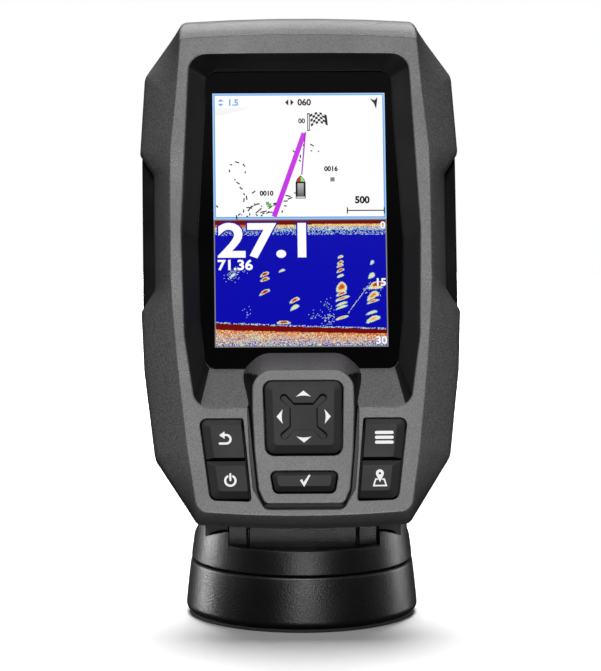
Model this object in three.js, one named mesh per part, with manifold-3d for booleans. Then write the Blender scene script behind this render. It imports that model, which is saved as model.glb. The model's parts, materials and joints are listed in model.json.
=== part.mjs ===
// A compact fish finder: a display head that leans back on a tilting, swivelling, round base.
// Millimetres, +Z up. The head faces -Y. The origin is the centre of the base's underside.
import * as THREE from 'three';
import { mergeVertices } from 'three/addons/utils/BufferGeometryUtils.js';
import Module from 'manifold-3d';

const wasm = await Module();
wasm.setup();

// ---- Driving dimensions ----

const GAP = 0.3; // between pieces that touch on the real object
const REST_LEAN = 24; // degrees that the head leans back from upright
const TILT_AXIS_Z = 29; // height of the tilt pin
const SCREEN_CENTRE_U = 78.8; // from the tilt pin up the head to the middle of the screen

// Levels across the head, measured forwards from the tilt pin.
const FACE_N = 24.5; // the front face
const WING_N = 16.5; // where the sloping wings end
const SEAM_N = 14; // the joint between the bezel and the rear housing
const WINDOW_N = 20; // the bottom of the screen recess
const FLANGE_N = 19.4; // the rear face of the recess floor
const KEY_ROOF_N = 22.5; // the rear face of the wall round the keys
const ISLAND_N = 26.3; // the top of the keypad island
const REAR_FACE_N = -18.5; // the rearmost face of the housing

const DISPLAY_WIDTH = 48.96; // a 3.5 inch panel, 320 by 480 dots
const DISPLAY_HEIGHT = 73.44;
const PANEL_SIDE_BORDER = 1.5;
const PANEL_END_BORDER = 2.6;

const BASE_RADIUS = 32.6;
const BASE_TOP_Z = 15.6;
const PAD_THICKNESS = 1;
const DRUM_RADIUS = 31.1;
const DRUM_SHOULDER_RADIUS = 30.3;
const DRUM_FLOOR_Z = 19.2;
const DRUM_REAR_FLOOR_Z = 17.4;
const DRUM_LIP_Z = 22.8;
const EAR_SHOULDER_Z = 25.6;
const EAR_INNER_X = 21.3;
const EAR_OUTER_X = 28;
const ARM_INNER_X = 16;
const ARM_OUTER_X = 20.7;
const CENTRE_KNUCKLE_X = 14.9;
const KNUCKLE_RADIUS = 8.7;
const HEEL_REACH = 10; // how far the knuckles' square fronts stand ahead of the tilt pin
const CENTRE_HEEL_DROP = 7.1; // and how far they reach below it
const ARM_HEEL_DROP = 7.9;
const TILT_PIN_RADIUS = 2.5;
const SPINDLE_RADIUS = 5.5;
const NOTCH_Z = 22.5; // underside of the notch in each ear's front shoulder

const CRADLE_PLATE_U = 10.4; // underside of the plate, up the head from the tilt pin
const CRADLE_PLATE_THICKNESS = 3.3;
const HOUSING_STEP_V = -64.6; // underside of the deep part of the rear housing
const BACK_WALL_X = 14.1;
const BACK_WALL_TOP_U = 42;

const KEY_GAP = 0.5;
const KEY_TOP_N = 25.5;
const KEY_SPLIT_V = -70.2;
const PAD_CENTRE_V = -58.4;
const DOME_RADIUS = 2.6;
const BOARD_TOP_N = 16.8;
const CONNECTOR_V = -18;
const CONNECTOR_BORE = 5.6;

// ---- Materials ----

function material(colour, roughness, metalness = 0) {
  return new THREE.MeshStandardMaterial({ color: colour, roughness, metalness });
}

const casePlastic = material(0x2b2c2e, 0.6);
const dullPlastic = material(0x1b1b1d, 0.7);
const mountPlastic = material(0x1d1d1f, 0.5);
const keyRubber = material(0x242527, 0.8);
const sealRubber = material(0x101010, 0.9);
const screenGlass = material(0x08090b, 0.1);
const displayFilm = material(0x123a6a, 0.3);
const steel = material(0xb9bcc0, 0.35, 0.9);
const brass = material(0xc9a24a, 0.35, 0.9);
const boardGreen = material(0x155034, 0.6);
const flexAmber = material(0xa8651c, 0.5);
const ceramic = material(0xd6cfbf, 0.6);

// ---- Solids ----

function solidOf(geometry) {
  const bare = geometry.clone();
  bare.deleteAttribute('normal');
  bare.deleteAttribute('uv');
  const merged = mergeVertices(bare, 1e-5);
  const mesh = new wasm.Mesh({
    numProp: 3,
    vertProperties: new Float32Array(merged.attributes.position.array),
    triVerts: new Uint32Array(merged.index.array),
  });
  return new wasm.Manifold(mesh);
}

function geometryOf(solid) {
  const mesh = solid.getMesh();
  const geometry = new THREE.BufferGeometry();
  geometry.setAttribute('position', new THREE.BufferAttribute(new Float32Array(mesh.vertProperties), 3));
  geometry.setIndex(new THREE.BufferAttribute(new Uint32Array(mesh.triVerts), 1));
  return geometry;
}

function joined(...geometries) {
  const solids = geometries.map(solidOf);
  return geometryOf(solids.reduce((whole, solid) => whole.add(solid)));
}

function cut(geometry, ...tools) {
  const whole = tools.map(solidOf).reduce((rest, tool) => rest.subtract(tool), solidOf(geometry));
  return geometryOf(whole);
}

function common(geometry, other) {
  return geometryOf(solidOf(geometry).intersect(solidOf(other)));
}

function box(x0, x1, y0, y1, z0, z1) {
  const geometry = new THREE.BoxGeometry(x1 - x0, y1 - y0, z1 - z0);
  return geometry.translate((x0 + x1) / 2, (y0 + y1) / 2, (z0 + z1) / 2);
}

// A cylinder along Z.
function rod(radius, from, to, x = 0, y = 0, segments = 24) {
  const geometry = new THREE.CylinderGeometry(radius, radius, to - from, segments);
  return geometry.rotateX(Math.PI / 2).translate(x, y, (from + to) / 2);
}

// A cylinder along X, on the axis.
function crossRod(radius, fromX, toX, segments = 32) {
  const geometry = new THREE.CylinderGeometry(radius, radius, toX - fromX, segments);
  return geometry.rotateZ(Math.PI / 2).translate((fromX + toX) / 2, 0, 0);
}

// A profile of [radius, height] pairs turned round the Z axis.
function turned(profile, segments = 56) {
  const points = profile.map(([radius, height]) => new THREE.Vector2(radius, height));
  return new THREE.LatheGeometry(points, segments).rotateX(Math.PI / 2);
}

function ring(inner, outer, from, to, segments = 32) {
  return turned([[inner, from], [outer, from], [outer, to], [inner, to], [inner, from]], segments);
}

// ---- Outlines: corners are [x, v, corner radius], v measured up from the middle of the screen ----

function roundedShape(corners) {
  const shape = new THREE.Shape();
  corners.forEach(([x, y, radius], i) => {
    const corner = new THREE.Vector2(x, y);
    const before = new THREE.Vector2(...corners[(i + corners.length - 1) % corners.length]);
    const after = new THREE.Vector2(...corners[(i + 1) % corners.length]);
    const reach = Math.min(radius, 0.45 * corner.distanceTo(before), 0.45 * corner.distanceTo(after));
    const entry = corner.clone().add(before.sub(corner).setLength(reach));
    const exit = corner.clone().add(after.sub(corner).setLength(reach));
    if (i === 0) shape.moveTo(entry.x, entry.y);
    else shape.lineTo(entry.x, entry.y);
    shape.quadraticCurveTo(corner.x, corner.y, exit.x, exit.y);
  });
  shape.closePath();
  return shape;
}

// The right half of an outline, top to bottom, completed by its mirror image.
function symmetric(half) {
  const left = half.map(([x, y, radius]) => [-x, y, radius]).reverse();
  return [...half, ...left].map(([x, y, radius]) => [x, y + SCREEN_CENTRE_U, radius]);
}

function placed(corners, side = 1) {
  return corners.map(([x, y, radius]) => [side * x, y + SCREEN_CENTRE_U, radius]);
}

// Half outline moved outwards by a distance; its first and last corners move up and down too.
function grown(half, distance) {
  return half.map(([x, y, radius], i) => {
    const lift = i === 0 ? distance : i === half.length - 1 ? -distance : 0;
    return [x + distance, y + lift, radius];
  });
}

// A solid through sections of { corners, n }, ordered from back to front.
function loft(sections, steps = 3) {
  const loops = sections.map(({ corners, n }) => {
    const points = roundedShape(corners).getPoints(steps);
    points.pop();
    if (THREE.ShapeUtils.isClockWise(points)) points.reverse();
    return points.map((point) => new THREE.Vector3(point.x, point.y, n));
  });
  const count = loops[0].length;
  const positions = loops.flat().flatMap((point) => point.toArray());
  const indices = [];
  for (let level = 0; level + 1 < loops.length; level += 1) {
    for (let i = 0; i < count; i += 1) {
      const next = (i + 1) % count;
      const low = level * count;
      const high = low + count;
      indices.push(low + i, low + next, high + next, low + i, high + next, high + i);
    }
  }
  const flat = (loop) => loop.map((point) => new THREE.Vector2(point.x, point.y));
  const last = (loops.length - 1) * count;
  THREE.ShapeUtils.triangulateShape(flat(loops[0]), []).forEach(([a, b, c]) => indices.push(a, c, b));
  THREE.ShapeUtils.triangulateShape(flat(loops.at(-1)), []).forEach(([a, b, c]) => {
    indices.push(last + a, last + b, last + c);
  });
  const geometry = new THREE.BufferGeometry();
  geometry.setAttribute('position', new THREE.BufferAttribute(new Float32Array(positions), 3));
  geometry.setIndex(indices);
  return geometry;
}

function slab(corners, from, to, steps = 3) {
  return loft([{ corners, n: from }, { corners, n: to }], steps);
}

// ---- The head's outlines ----

const FACE_EDGE = [
  [33.8, 53.3, 5], [35.3, 36, 3], [36.9, 21, 2], [37.1, 13, 2], [37.1, -17, 2],
  [36.8, -25, 2], [35.5, -42, 4], [32.9, -67, 4], [30.2, -85.6, 4],
];
const WING_EDGE = [
  [32.4, 59.6, 2], [43.6, 43.8, 5], [45.1, 21.5, 2], [41.3, 15.4, 2], [41.3, -18.7, 2],
  [45.1, -24.8, 2], [44.4, -42, 4], [41.6, -67, 4], [29.9, -87, 3],
];
const RECESS_LIP = [[31.2, 49.2, 4.5], [33.95, -3, 20], [33.3, -34, 8], [30.3, -55.3, 5]];
const WINDOW_EDGE = [[25.8, 45, 3], [28.9, -5, 20], [28.4, -28, 8], [27, -42.6, 3]];
const HUMP_FOOT = [
  [11.6, -38.1, 2], [17.3, -43.4, 2], [16, -55, 3], [14.4, -67, 3], [13.3, -78.5, 3], [11, -83.4, 2],
];
const ISLAND_TOP = [
  [10.9, -44.4, 2], [14.3, -47.9, 2], [14.4, -55.6, 3], [13.9, -67.9, 3], [12.9, -78.9, 3], [11.2, -83, 2],
];
const GROOVE_EDGE = [[15.7, -56.4, 1], [15.2, -67.9, 2], [14.3, -78.5, 3], [11, -84.4, 2]];
const CAVITY_EDGE = [[27, 52, 3], [36, 39.5, 4], [36, -24, 4], [34.2, -59, 4], [25.4, -81.2, 3]];
const KEY_CAVITY_EDGE = [[31, -57.3, 1], [27.8, -82.6, 1]];
const PAD_OPENING = [[11.35, -47.5, 2.5], [10.8, -69.3, 2.5]];
const SELECT_OPENING = [[9.75, -73.6, 1.4], [8.65, -80.2, 1.4]];
const SIDE_KEYS_OPENING = [[17, -58, 1.2], [29.3, -58, 1.8], [26.4, -81.6, 2], [14.9, -82, 1.2]];
const GLASS_EDGE = grown(WINDOW_EDGE, 1.4);

// The side keys' opening at height v, inner and outer edge.
function sideOpeningAt(v) {
  const [innerTop, outerTop, outerFoot, innerFoot] = SIDE_KEYS_OPENING;
  const along = (top, foot) => top[0] + ((foot[0] - top[0]) * (v - top[1])) / (foot[1] - top[1]);
  return [along(innerTop, innerFoot), along(outerTop, outerFoot)];
}

// ---- Head: bezel, housing, seals and screws ----

const HOUSING_SCREWS = [[41, 33], [-41, 33], [40, -50], [-40, -50]];

function frontBezel() {
  const shell = loft([
    { corners: symmetric(WING_EDGE), n: SEAM_N },
    { corners: symmetric(WING_EDGE), n: WING_N },
    { corners: symmetric(FACE_EDGE), n: FACE_N },
  ]);
  const recess = loft([
    { corners: symmetric(WINDOW_EDGE), n: FLANGE_N - 1 },
    { corners: symmetric(WINDOW_EDGE), n: WINDOW_N },
    { corners: symmetric(RECESS_LIP), n: FACE_N },
    { corners: symmetric(grown(RECESS_LIP, 0.2)), n: FACE_N + 1 },
  ]);
  const groove = slab(symmetric(GROOVE_EDGE), FACE_N - 1, FACE_N + 1);
  const island = loft([
    { corners: symmetric(HUMP_FOOT), n: FLANGE_N },
    { corners: symmetric(HUMP_FOOT), n: WINDOW_N },
    { corners: symmetric(ISLAND_TOP), n: ISLAND_N },
  ]);
  const holes = [
    slab(symmetric(CAVITY_EDGE), SEAM_N - 1, FLANGE_N),
    slab(symmetric(KEY_CAVITY_EDGE), SEAM_N - 1, KEY_ROOF_N),
    slab(symmetric(PAD_OPENING), SEAM_N, ISLAND_N + 1),
    slab(symmetric(SELECT_OPENING), SEAM_N, ISLAND_N + 1),
    slab(placed(SIDE_KEYS_OPENING), SEAM_N, FACE_N + 1),
    slab(placed(SIDE_KEYS_OPENING, -1), SEAM_N, FACE_N + 1),
    ...HOUSING_SCREWS.map(([x, v]) => rod(1.3, SEAM_N - 1, 17.5, x, v + SCREEN_CENTRE_U, 12)),
  ];
  return cut(joined(cut(shell, recess, groove), island), ...holes);
}

function rearHousing() {
  const rim = [
    [32.4, 59.4, 2], [43.5, 43.7, 5], [44.5, 20, 8], [44.5, -25, 8],
    [44.2, -42, 4], [41.4, -67, 4], [30.4, -84.8, 3],
  ];
  const hull = (n, half) => ({ corners: symmetric(half), n });
  const step = HOUSING_STEP_V;
  const body = loft([
    hull(REAR_FACE_N, [[24, 48, 3], [31, 36, 5], [32, 18, 8], [32, -25, 8], [30.5, -46, 4], [27, -59, 3]]),
    hull(-8, [[28, 54, 3], [37, 40, 5], [38, 18, 8], [38, -25, 8], [36, -50, 4], [33, step, 3]]),
    hull(11, [[31, 57.5, 3], [41.5, 42, 5], [42.3, 18, 8], [42.3, -25, 8], [39.5, -50, 4], [36, step, 3]]),
  ]);
  const floor = step + 2.4;
  const hollow = loft([
    hull(REAR_FACE_N + 2.2, [[22.2, 46, 3], [29, 35, 4], [30, 18, 8], [30, -24, 8], [28.5, -45, 4], [25, -57, 3]]),
    hull(-7, [[25.5, 51, 3], [34.5, 38, 4], [35.5, 18, 8], [35.5, -24, 8], [33.6, -49, 4], [30.6, floor, 3]]),
    hull(SEAM_N, [[27, 52, 3], [36, 39.5, 4], [36, 18, 8], [36, -24, 8], [34.6, -48, 4], [33, floor, 3]]),
  ]);
  const seam = SEAM_N - GAP;
  const groove = cut(
    slab(symmetric(grown(CAVITY_EDGE, 2.25)), seam - 1.2, SEAM_N),
    slab(symmetric(grown(CAVITY_EDGE, 0.45)), seam - 2, SEAM_N + 1),
  );
  const posts = [[26, 30], [-26, 30], [25, -46], [-25, -46]].map(([x, v]) => (
    rod(2.5, REAR_FACE_N + 1, 8.2, x, v + SCREEN_CENTRE_U, 12)
  ));
  const rails = [1, -1].flatMap((side) => {
    const foot = SCREEN_CENTRE_U - 56.5;
    const top = SCREEN_CENTRE_U - 38.5;
    const between = (a, b) => [Math.min(side * a, side * b), Math.max(side * a, side * b)];
    return [
      box(...between(BACK_WALL_X + GAP, 16.6), foot, top, -24.2, REAR_FACE_N + 1),
      box(...between(11.4, 16.6), foot, top, -24.2, -22.4),
    ];
  });
  const centre = SCREEN_CENTRE_U + CONNECTOR_V;
  const wells = HOUSING_SCREWS.flatMap(([x, v]) => [
    rod(2.1, REAR_FACE_N - 2, 10.5, x, v + SCREEN_CENTRE_U, 12),
    rod(1.3, 10, SEAM_N, x, v + SCREEN_CENTRE_U, 12),
  ]);
  return cut(
    joined(cut(joined(slab(symmetric(rim), 10.7, seam), body), hollow, groove), ...posts, ...rails),
    rod(CONNECTOR_BORE + 2.2, REAR_FACE_N - 2, -15, 0, centre),
    rod(2.3, REAR_FACE_N - 2, -15, 22, SCREEN_CENTRE_U - 45, 12),
    ...wells,
  );
}

function housingGasket() {
  const from = SEAM_N - GAP - 1;
  const to = SEAM_N - GAP;
  const outer = slab(symmetric(grown(CAVITY_EDGE, 1.95)), from, to);
  return cut(outer, slab(symmetric(grown(CAVITY_EDGE, 0.75)), from - 1, to + 1));
}

function housingScrew([x, v]) {
  const y = v + SCREEN_CENTRE_U;
  const head = cut(rod(1.8, 8.9, 10.4, x, y, 12), box(x - 1.2, x + 1.2, y - 0.25, y + 0.25, 8, 9.5));
  return joined(head, rod(1, 10.2, 17.2, x, y, 12));
}

function ventPlug() {
  const y = SCREEN_CENTRE_U - 45;
  return joined(rod(3.2, -19.7, -18.8, 22, y, 24), rod(2, -19, -16, 22, y, 16));
}

// ---- Head: screen ----

const GLASS_BACK_N = FLANGE_N - GAP - 1.5;
const PANEL_FRONT_N = GLASS_BACK_N - GAP;
const PANEL_BACK_N = PANEL_FRONT_N - 1.9;

function coverGlass() {
  return slab(symmetric(GLASS_EDGE), GLASS_BACK_N, FLANGE_N - GAP);
}

function glassSeal() {
  const outer = slab(symmetric(grown(GLASS_EDGE, -0.3)), PANEL_FRONT_N - 0.7, PANEL_FRONT_N);
  return cut(outer, slab(symmetric(grown(GLASS_EDGE, -1)), PANEL_FRONT_N - 2, PANEL_FRONT_N + 1));
}

function plate(halfWidth, halfHeight, from, to, radius = 1) {
  return slab(symmetric([[halfWidth, halfHeight, radius], [halfWidth, -halfHeight, radius]]), from, to, 3);
}

function lcdPanel() {
  const halfHeight = DISPLAY_HEIGHT / 2 + PANEL_END_BORDER;
  return plate(DISPLAY_WIDTH / 2 + PANEL_SIDE_BORDER, halfHeight, PANEL_BACK_N, PANEL_FRONT_N);
}

function backlightTray() {
  const halfHeight = DISPLAY_HEIGHT / 2 + PANEL_END_BORDER + 0.5;
  return plate(DISPLAY_WIDTH / 2 + PANEL_SIDE_BORDER, halfHeight, 12.2, PANEL_BACK_N - GAP);
}

// ---- Head: boards and what is on them ----

const BOARD_N = 8.5;
const BOARD_THICKNESS = 1.6;

function mainBoard() {
  const edge = [[24.5, 49.5, 2], [33.5, 37.5, 2], [33.5, -46, 2], [30.5, -60.5, 2]];
  return slab(symmetric(edge), BOARD_N, BOARD_N + BOARD_THICKNESS);
}

function keypadBoard() {
  return slab(symmetric([[27.5, -47.5, 1], [24.6, -80.4, 1]]), BOARD_TOP_N - 1.2, BOARD_TOP_N);
}

function keypadMembrane() {
  const sheet = slab(symmetric([[30.4, -57.8, 1], [27.2, -82, 1]]), 19.2, 19.8);
  const holes = [
    slab(symmetric([[12, -50, 1], [12, -70.3, 1]]), 18, 21),
    ...Object.values(KEY_CENTRES).map(([x, v]) => rod(3.5, 18, 21, x, v + SCREEN_CENTRE_U, 24)),
  ];
  return cut(sheet, ...holes);
}

function gpsAntenna() {
  const y = SCREEN_CENTRE_U + 34;
  return box(-9, 9, y - 9, y + 9, 4, BOARD_N - GAP);
}

function sounder() {
  return rod(6, 3.7, BOARD_N - GAP, -20, SCREEN_CENTRE_U - 36, 32);
}

function displayRibbon() {
  const v = SCREEN_CENTRE_U;
  return joined(
    box(8, 20, v - 45.4, v - 30, 11, 11.4),
    box(8, 20, v - 45.4, v - 45, 11, 16.2),
    box(8, 20, v - 45.4, v - 39.8, 15.8, 16.2),
  );
}

function keypadRibbon() {
  const v = SCREEN_CENTRE_U;
  return joined(
    box(-18, -10, v - 56.4, v - 50, 10.4, 10.8),
    box(-18, -10, v - 56.4, v - 56, 10.4, 15.3),
    box(-18, -10, v - 60, v - 56, 14.9, 15.3),
  );
}

// ---- Head: socket on the back ----

function connectorShell() {
  const y = SCREEN_CENTRE_U + CONNECTOR_V;
  const wall = ring(CONNECTOR_BORE, CONNECTOR_BORE + 1.9, REAR_FACE_N - 0.4, -8, 28);
  const flange = ring(CONNECTOR_BORE + 1, 9.8, -15.2, -13.7, 28);
  return joined(wall, flange).translate(0, y, 0);
}

function connectorInsert() {
  const y = SCREEN_CENTRE_U + CONNECTOR_V;
  const pins = [45, 135, 225, 315].map((degrees) => {
    const angle = THREE.MathUtils.degToRad(degrees);
    return rod(0.5, -13.6, -9, 3.6 * Math.cos(angle), y + 3.6 * Math.sin(angle), 10);
  });
  return joined(rod(CONNECTOR_BORE - GAP, -10.6, -8.2, 0, y, 28), ...pins);
}

function connectorSeal() {
  return ring(8.1, 9.5, -16, -15.5, 28).translate(0, SCREEN_CENTRE_U + CONNECTOR_V, 0);
}

// ---- Keys ----

const KEY_CENTRES = {
  back: [-22.4, -64.2],
  power: [-21, -76],
  menu: [22.4, -64.2],
  waypoint: [21, -76],
  select: [0, -76.9],
};

// A side key between two heights: a bevelled cap, a retaining flange and a plunger.
function sideKey(side, top, foot, [x, v]) {
  const outline = (inset, spread) => {
    const [innerTop, outerTop] = sideOpeningAt(top);
    const [innerFoot, outerFoot] = sideOpeningAt(foot);
    const corners = [
      [innerTop + inset - spread, top - inset + KEY_GAP, 1.2],
      [outerTop - inset + spread, top - inset + KEY_GAP, 1.8],
      [outerFoot - inset + spread, foot + inset - KEY_GAP, 1.8],
      [innerFoot + inset - spread, foot + inset - KEY_GAP, 1.2],
    ];
    return placed(corners, side);
  };
  const cap = loft([
    { corners: outline(KEY_GAP, 0), n: 21 },
    { corners: outline(KEY_GAP, 0), n: KEY_TOP_N - 0.8 },
    { corners: outline(KEY_GAP + 0.8, 0), n: KEY_TOP_N },
  ]);
  const flange = slab(outline(KEY_GAP, 1), 21, KEY_ROOF_N - GAP);
  return joined(cap, flange, rod(3, 18.4, 21.5, x, v + SCREEN_CENTRE_U, 24));
}

function selectKey() {
  const edge = [[9.25, -74.1, 1.2], [8.15, -79.7, 1.2]];
  const cap = loft([
    { corners: symmetric(edge), n: 21 },
    { corners: symmetric(edge), n: 26.5 },
    { corners: symmetric(grown(edge, -0.8)), n: 27.2 },
  ]);
  const [x, v] = KEY_CENTRES.select;
  const flange = slab(symmetric(grown(edge, 1)), 21, KEY_ROOF_N - GAP);
  return joined(cap, flange, rod(3, 18.4, 21.5, x, v + SCREEN_CENTRE_U, 24));
}

const PAD_REACH = 7.4; // from the middle of the pad to each of its four switches

function padCap() {
  const edge = [[10.85, -48, 2.2], [10.3, -68.8, 2.2]];
  const centre = PAD_CENTRE_V + SCREEN_CENTRE_U;
  const cap = loft([
    { corners: symmetric(edge), n: 19.8 },
    { corners: symmetric(edge), n: 26.5 },
    { corners: symmetric(grown(edge, -1.9)), n: 27.6 },
  ]);
  const arms = [45, -45].map((degrees) => {
    const arm = box(-9.4, 9.4, -1.1, 1.1, 26.9, 28);
    return arm.rotateZ(THREE.MathUtils.degToRad(degrees)).translate(0, centre, 0);
  });
  const dish = box(-3.6, 3.6, centre - 3.6, centre + 3.6, 26.9, 28);
  const plungers = padSwitches().map(([x, v]) => rod(1.5, 18.2, 20.5, x, v + SCREEN_CENTRE_U, 16));
  return joined(cut(cap, ...arms, dish), ...plungers);
}

function padSwitches() {
  return [[0, PAD_REACH], [0, -PAD_REACH], [-PAD_REACH, 0], [PAD_REACH, 0]].map(([x, v]) => (
    [x, v + PAD_CENTRE_V]
  ));
}

function padRocker() {
  return rod(3.4, 18, 19.5, 0, PAD_CENTRE_V + SCREEN_CENTRE_U, 20);
}

function dome([x, v]) {
  const y = v + SCREEN_CENTRE_U;
  const low = BOARD_TOP_N + GAP;
  const profile = [[0, 0], [DOME_RADIUS, 0], [DOME_RADIUS, 0.15], [DOME_RADIUS * 0.5, 0.4], [0, 0.4]];
  return turned(profile, 16).translate(x, y, low);
}

// ---- Cradle, in the head's own directions: x across, y up the head, z forwards ----

function cradle() {
  const arms = [1, -1].flatMap((side) => {
    const inner = side > 0 ? ARM_INNER_X : -ARM_OUTER_X;
    const outer = inner + ARM_OUTER_X - ARM_INNER_X;
    return [
      crossRod(KNUCKLE_RADIUS, inner, outer),
      box(inner, outer, 0, CRADLE_PLATE_U + 1, -KNUCKLE_RADIUS, KNUCKLE_RADIUS),
      box(inner, outer, -HEEL_REACH, 0, -ARM_HEEL_DROP, 0).rotateX(THREE.MathUtils.degToRad(REST_LEAN - 90)),
    ];
  });
  const plateTop = CRADLE_PLATE_U + CRADLE_PLATE_THICKNESS;
  const plateShape = box(-ARM_OUTER_X, ARM_OUTER_X, CRADLE_PLATE_U, plateTop, -22.1, 9.5);
  const wall = box(-BACK_WALL_X, BACK_WALL_X, CRADLE_PLATE_U, BACK_WALL_TOP_U, -22.1, REAR_FACE_N - 0.4);
  return cut(joined(plateShape, wall, ...arms), crossRod(TILT_PIN_RADIUS + GAP, -30, 30, 24));
}

// ---- Swivel and base ----

function swivelBody() {
  const foot = BASE_TOP_Z + GAP;
  const drum = turned([
    [0, foot], [DRUM_RADIUS, foot], [DRUM_SHOULDER_RADIUS, EAR_SHOULDER_Z - 3.1],
    [DRUM_SHOULDER_RADIUS - 0.3, EAR_SHOULDER_Z - 2], [DRUM_SHOULDER_RADIUS - 1, EAR_SHOULDER_Z - 1.1],
    [DRUM_SHOULDER_RADIUS - 2.2, EAR_SHOULDER_Z - 0.3], [DRUM_SHOULDER_RADIUS - 4, EAR_SHOULDER_Z],
    [0, EAR_SHOULDER_Z],
  ]);
  const bowl = turned([
    [0, DRUM_FLOOR_Z], [25.5, DRUM_FLOOR_Z], [28.6, DRUM_LIP_Z], [31, DRUM_LIP_Z], [31, 30], [0, 30],
  ]);
  const valley = common(bowl, box(-EAR_INNER_X, EAR_INNER_X, -40, 40, DRUM_FLOOR_Z - 1, 40));
  const rearGap = joined(
    box(-EAR_INNER_X, EAR_INNER_X, 0, 40, DRUM_FLOOR_Z, 40),
    box(-EAR_INNER_X, EAR_INNER_X, 11, 40, DRUM_REAR_FLOOR_Z, 40),
  );
  const notches = common(
    ring(DRUM_SHOULDER_RADIUS - 3.4, DRUM_SHOULDER_RADIUS + 2, NOTCH_Z, NOTCH_Z + 1.7, 56),
    joined(box(24.2, 34, -19, -3, 20, 26), box(-34, -24.2, -19, -3, 20, 26)),
  );
  const lugs = [1, -1].map((side) => {
    const inner = side > 0 ? EAR_INNER_X : -EAR_OUTER_X;
    const outer = inner + EAR_OUTER_X - EAR_INNER_X;
    const upright = box(inner, outer, -KNUCKLE_RADIUS, KNUCKLE_RADIUS, 20, TILT_AXIS_Z);
    return joined(crossRod(KNUCKLE_RADIUS, inner, outer).translate(0, 0, TILT_AXIS_Z), upright);
  });
  const knuckle = joined(
    crossRod(KNUCKLE_RADIUS, -CENTRE_KNUCKLE_X, CENTRE_KNUCKLE_X).translate(0, 0, TILT_AXIS_Z),
    box(-CENTRE_KNUCKLE_X, CENTRE_KNUCKLE_X, -5, 5, DRUM_FLOOR_Z - 1, TILT_AXIS_Z),
    box(-CENTRE_KNUCKLE_X, CENTRE_KNUCKLE_X, -HEEL_REACH, 0, TILT_AXIS_Z - CENTRE_HEEL_DROP, TILT_AXIS_Z),
  );
  const pinHole = crossRod(TILT_PIN_RADIUS + GAP, -40, 40, 24).translate(0, 0, TILT_AXIS_Z);
  const capSeats = [1, -1].map((side) => {
    const inner = side > 0 ? EAR_OUTER_X - 1.6 : -EAR_OUTER_X - 2;
    return crossRod(5.2, inner, inner + 3.6, 32).translate(0, 0, TILT_AXIS_Z);
  });
  const spindle = rod(SPINDLE_RADIUS, 6.4, DRUM_FLOOR_Z - 1, 0, 0, 28);
  return cut(
    joined(cut(drum, valley, rearGap, notches), ...lugs, knuckle, spindle),
    pinHole, ...capSeats, rod(2.2, 4, 16, 0, 0, 12),
  );
}

function tiltPin() {
  const shaft = crossRod(TILT_PIN_RADIUS, -EAR_OUTER_X + 2, EAR_OUTER_X - 2, 32);
  return shaft.translate(0, 0, TILT_AXIS_Z);
}

function earCap(side) {
  const inner = side > 0 ? EAR_OUTER_X - 1.3 : -EAR_OUTER_X - 0.4;
  return crossRod(4.9, inner, inner + 1.7, 32).translate(0, 0, TILT_AXIS_Z);
}

function tiltWasher(side) {
  const inner = CENTRE_KNUCKLE_X + GAP;
  const start = side > 0 ? inner : -inner - 0.5;
  const disc = cut(crossRod(7.8, start, start + 0.5), crossRod(TILT_PIN_RADIUS + GAP, start - 1, start + 2, 24));
  return disc.translate(0, 0, TILT_AXIS_Z);
}

const FRICTION_RING = { inner: 20, outer: 24, depth: 1.4 };

function baseShell() {
  const foot = PAD_THICKNESS + GAP;
  const roof = BASE_TOP_Z - 2.6;
  const bore = SPINDLE_RADIUS + GAP;
  const body = turned([
    [bore, 7], [9, 7], [9, roof], [28.4, roof], [29.6, foot], [BASE_RADIUS - 1, foot], [BASE_RADIUS - 0.2, foot + 0.4],
    [BASE_RADIUS, foot + 1.2], [DRUM_RADIUS + 0.2, BASE_TOP_Z - 0.5], [DRUM_RADIUS - 0.3, BASE_TOP_Z],
    [bore, BASE_TOP_Z], [bore, 7],
  ]);
  const seat = ring(
    FRICTION_RING.inner - GAP, FRICTION_RING.outer + GAP, BASE_TOP_Z - FRICTION_RING.depth, BASE_TOP_Z + 1,
  );
  const corners = [45, 135, 225, 315].map((degrees) => {
    const angle = THREE.MathUtils.degToRad(degrees);
    return [15 * Math.cos(angle), 15 * Math.sin(angle)];
  });
  const posts = corners.map(([x, y]) => rod(4, foot, roof + 1, x, y, 20));
  const holes = corners.map(([x, y]) => rod(2.2, 0, BASE_TOP_Z + 1, x, y, 12));
  return cut(joined(cut(body, seat), ...posts), ...holes);
}

function footPad() {
  const disc = rod(BASE_RADIUS - 1, 0, PAD_THICKNESS, 0, 0, 56);
  const holes = [45, 135, 225, 315].map((degrees) => {
    const angle = THREE.MathUtils.degToRad(degrees);
    return rod(2.6, -1, PAD_THICKNESS + 1, 15 * Math.cos(angle), 15 * Math.sin(angle), 12);
  });
  return cut(disc, ...holes);
}

function frictionRing() {
  const low = BASE_TOP_Z - FRICTION_RING.depth + GAP;
  return ring(FRICTION_RING.inner, FRICTION_RING.outer, low, BASE_TOP_Z);
}

function swivelWasher() {
  return ring(2.5, 8.2, 5.2, 6.1, 28);
}

function swivelScrew() {
  const head = cut(rod(4.2, 2.6, 4.9, 0, 0, 20), box(-3, 3, -0.5, 0.5, 2, 3.6));
  return joined(head, rod(1.9, 4.5, 15.4, 0, 0, 16));
}

// ---- Assembly ----

const headGroup = new THREE.Group();
headGroup.rotation.x = THREE.MathUtils.degToRad(90 - REST_LEAN);
headGroup.position.z = TILT_AXIS_Z;
const fishFinder = new THREE.Group();
fishFinder.add(headGroup);

function add(group, name, geometry, look) {
  const mesh = new THREE.Mesh(geometry, look);
  mesh.name = name;
  group.add(mesh);
}

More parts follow.
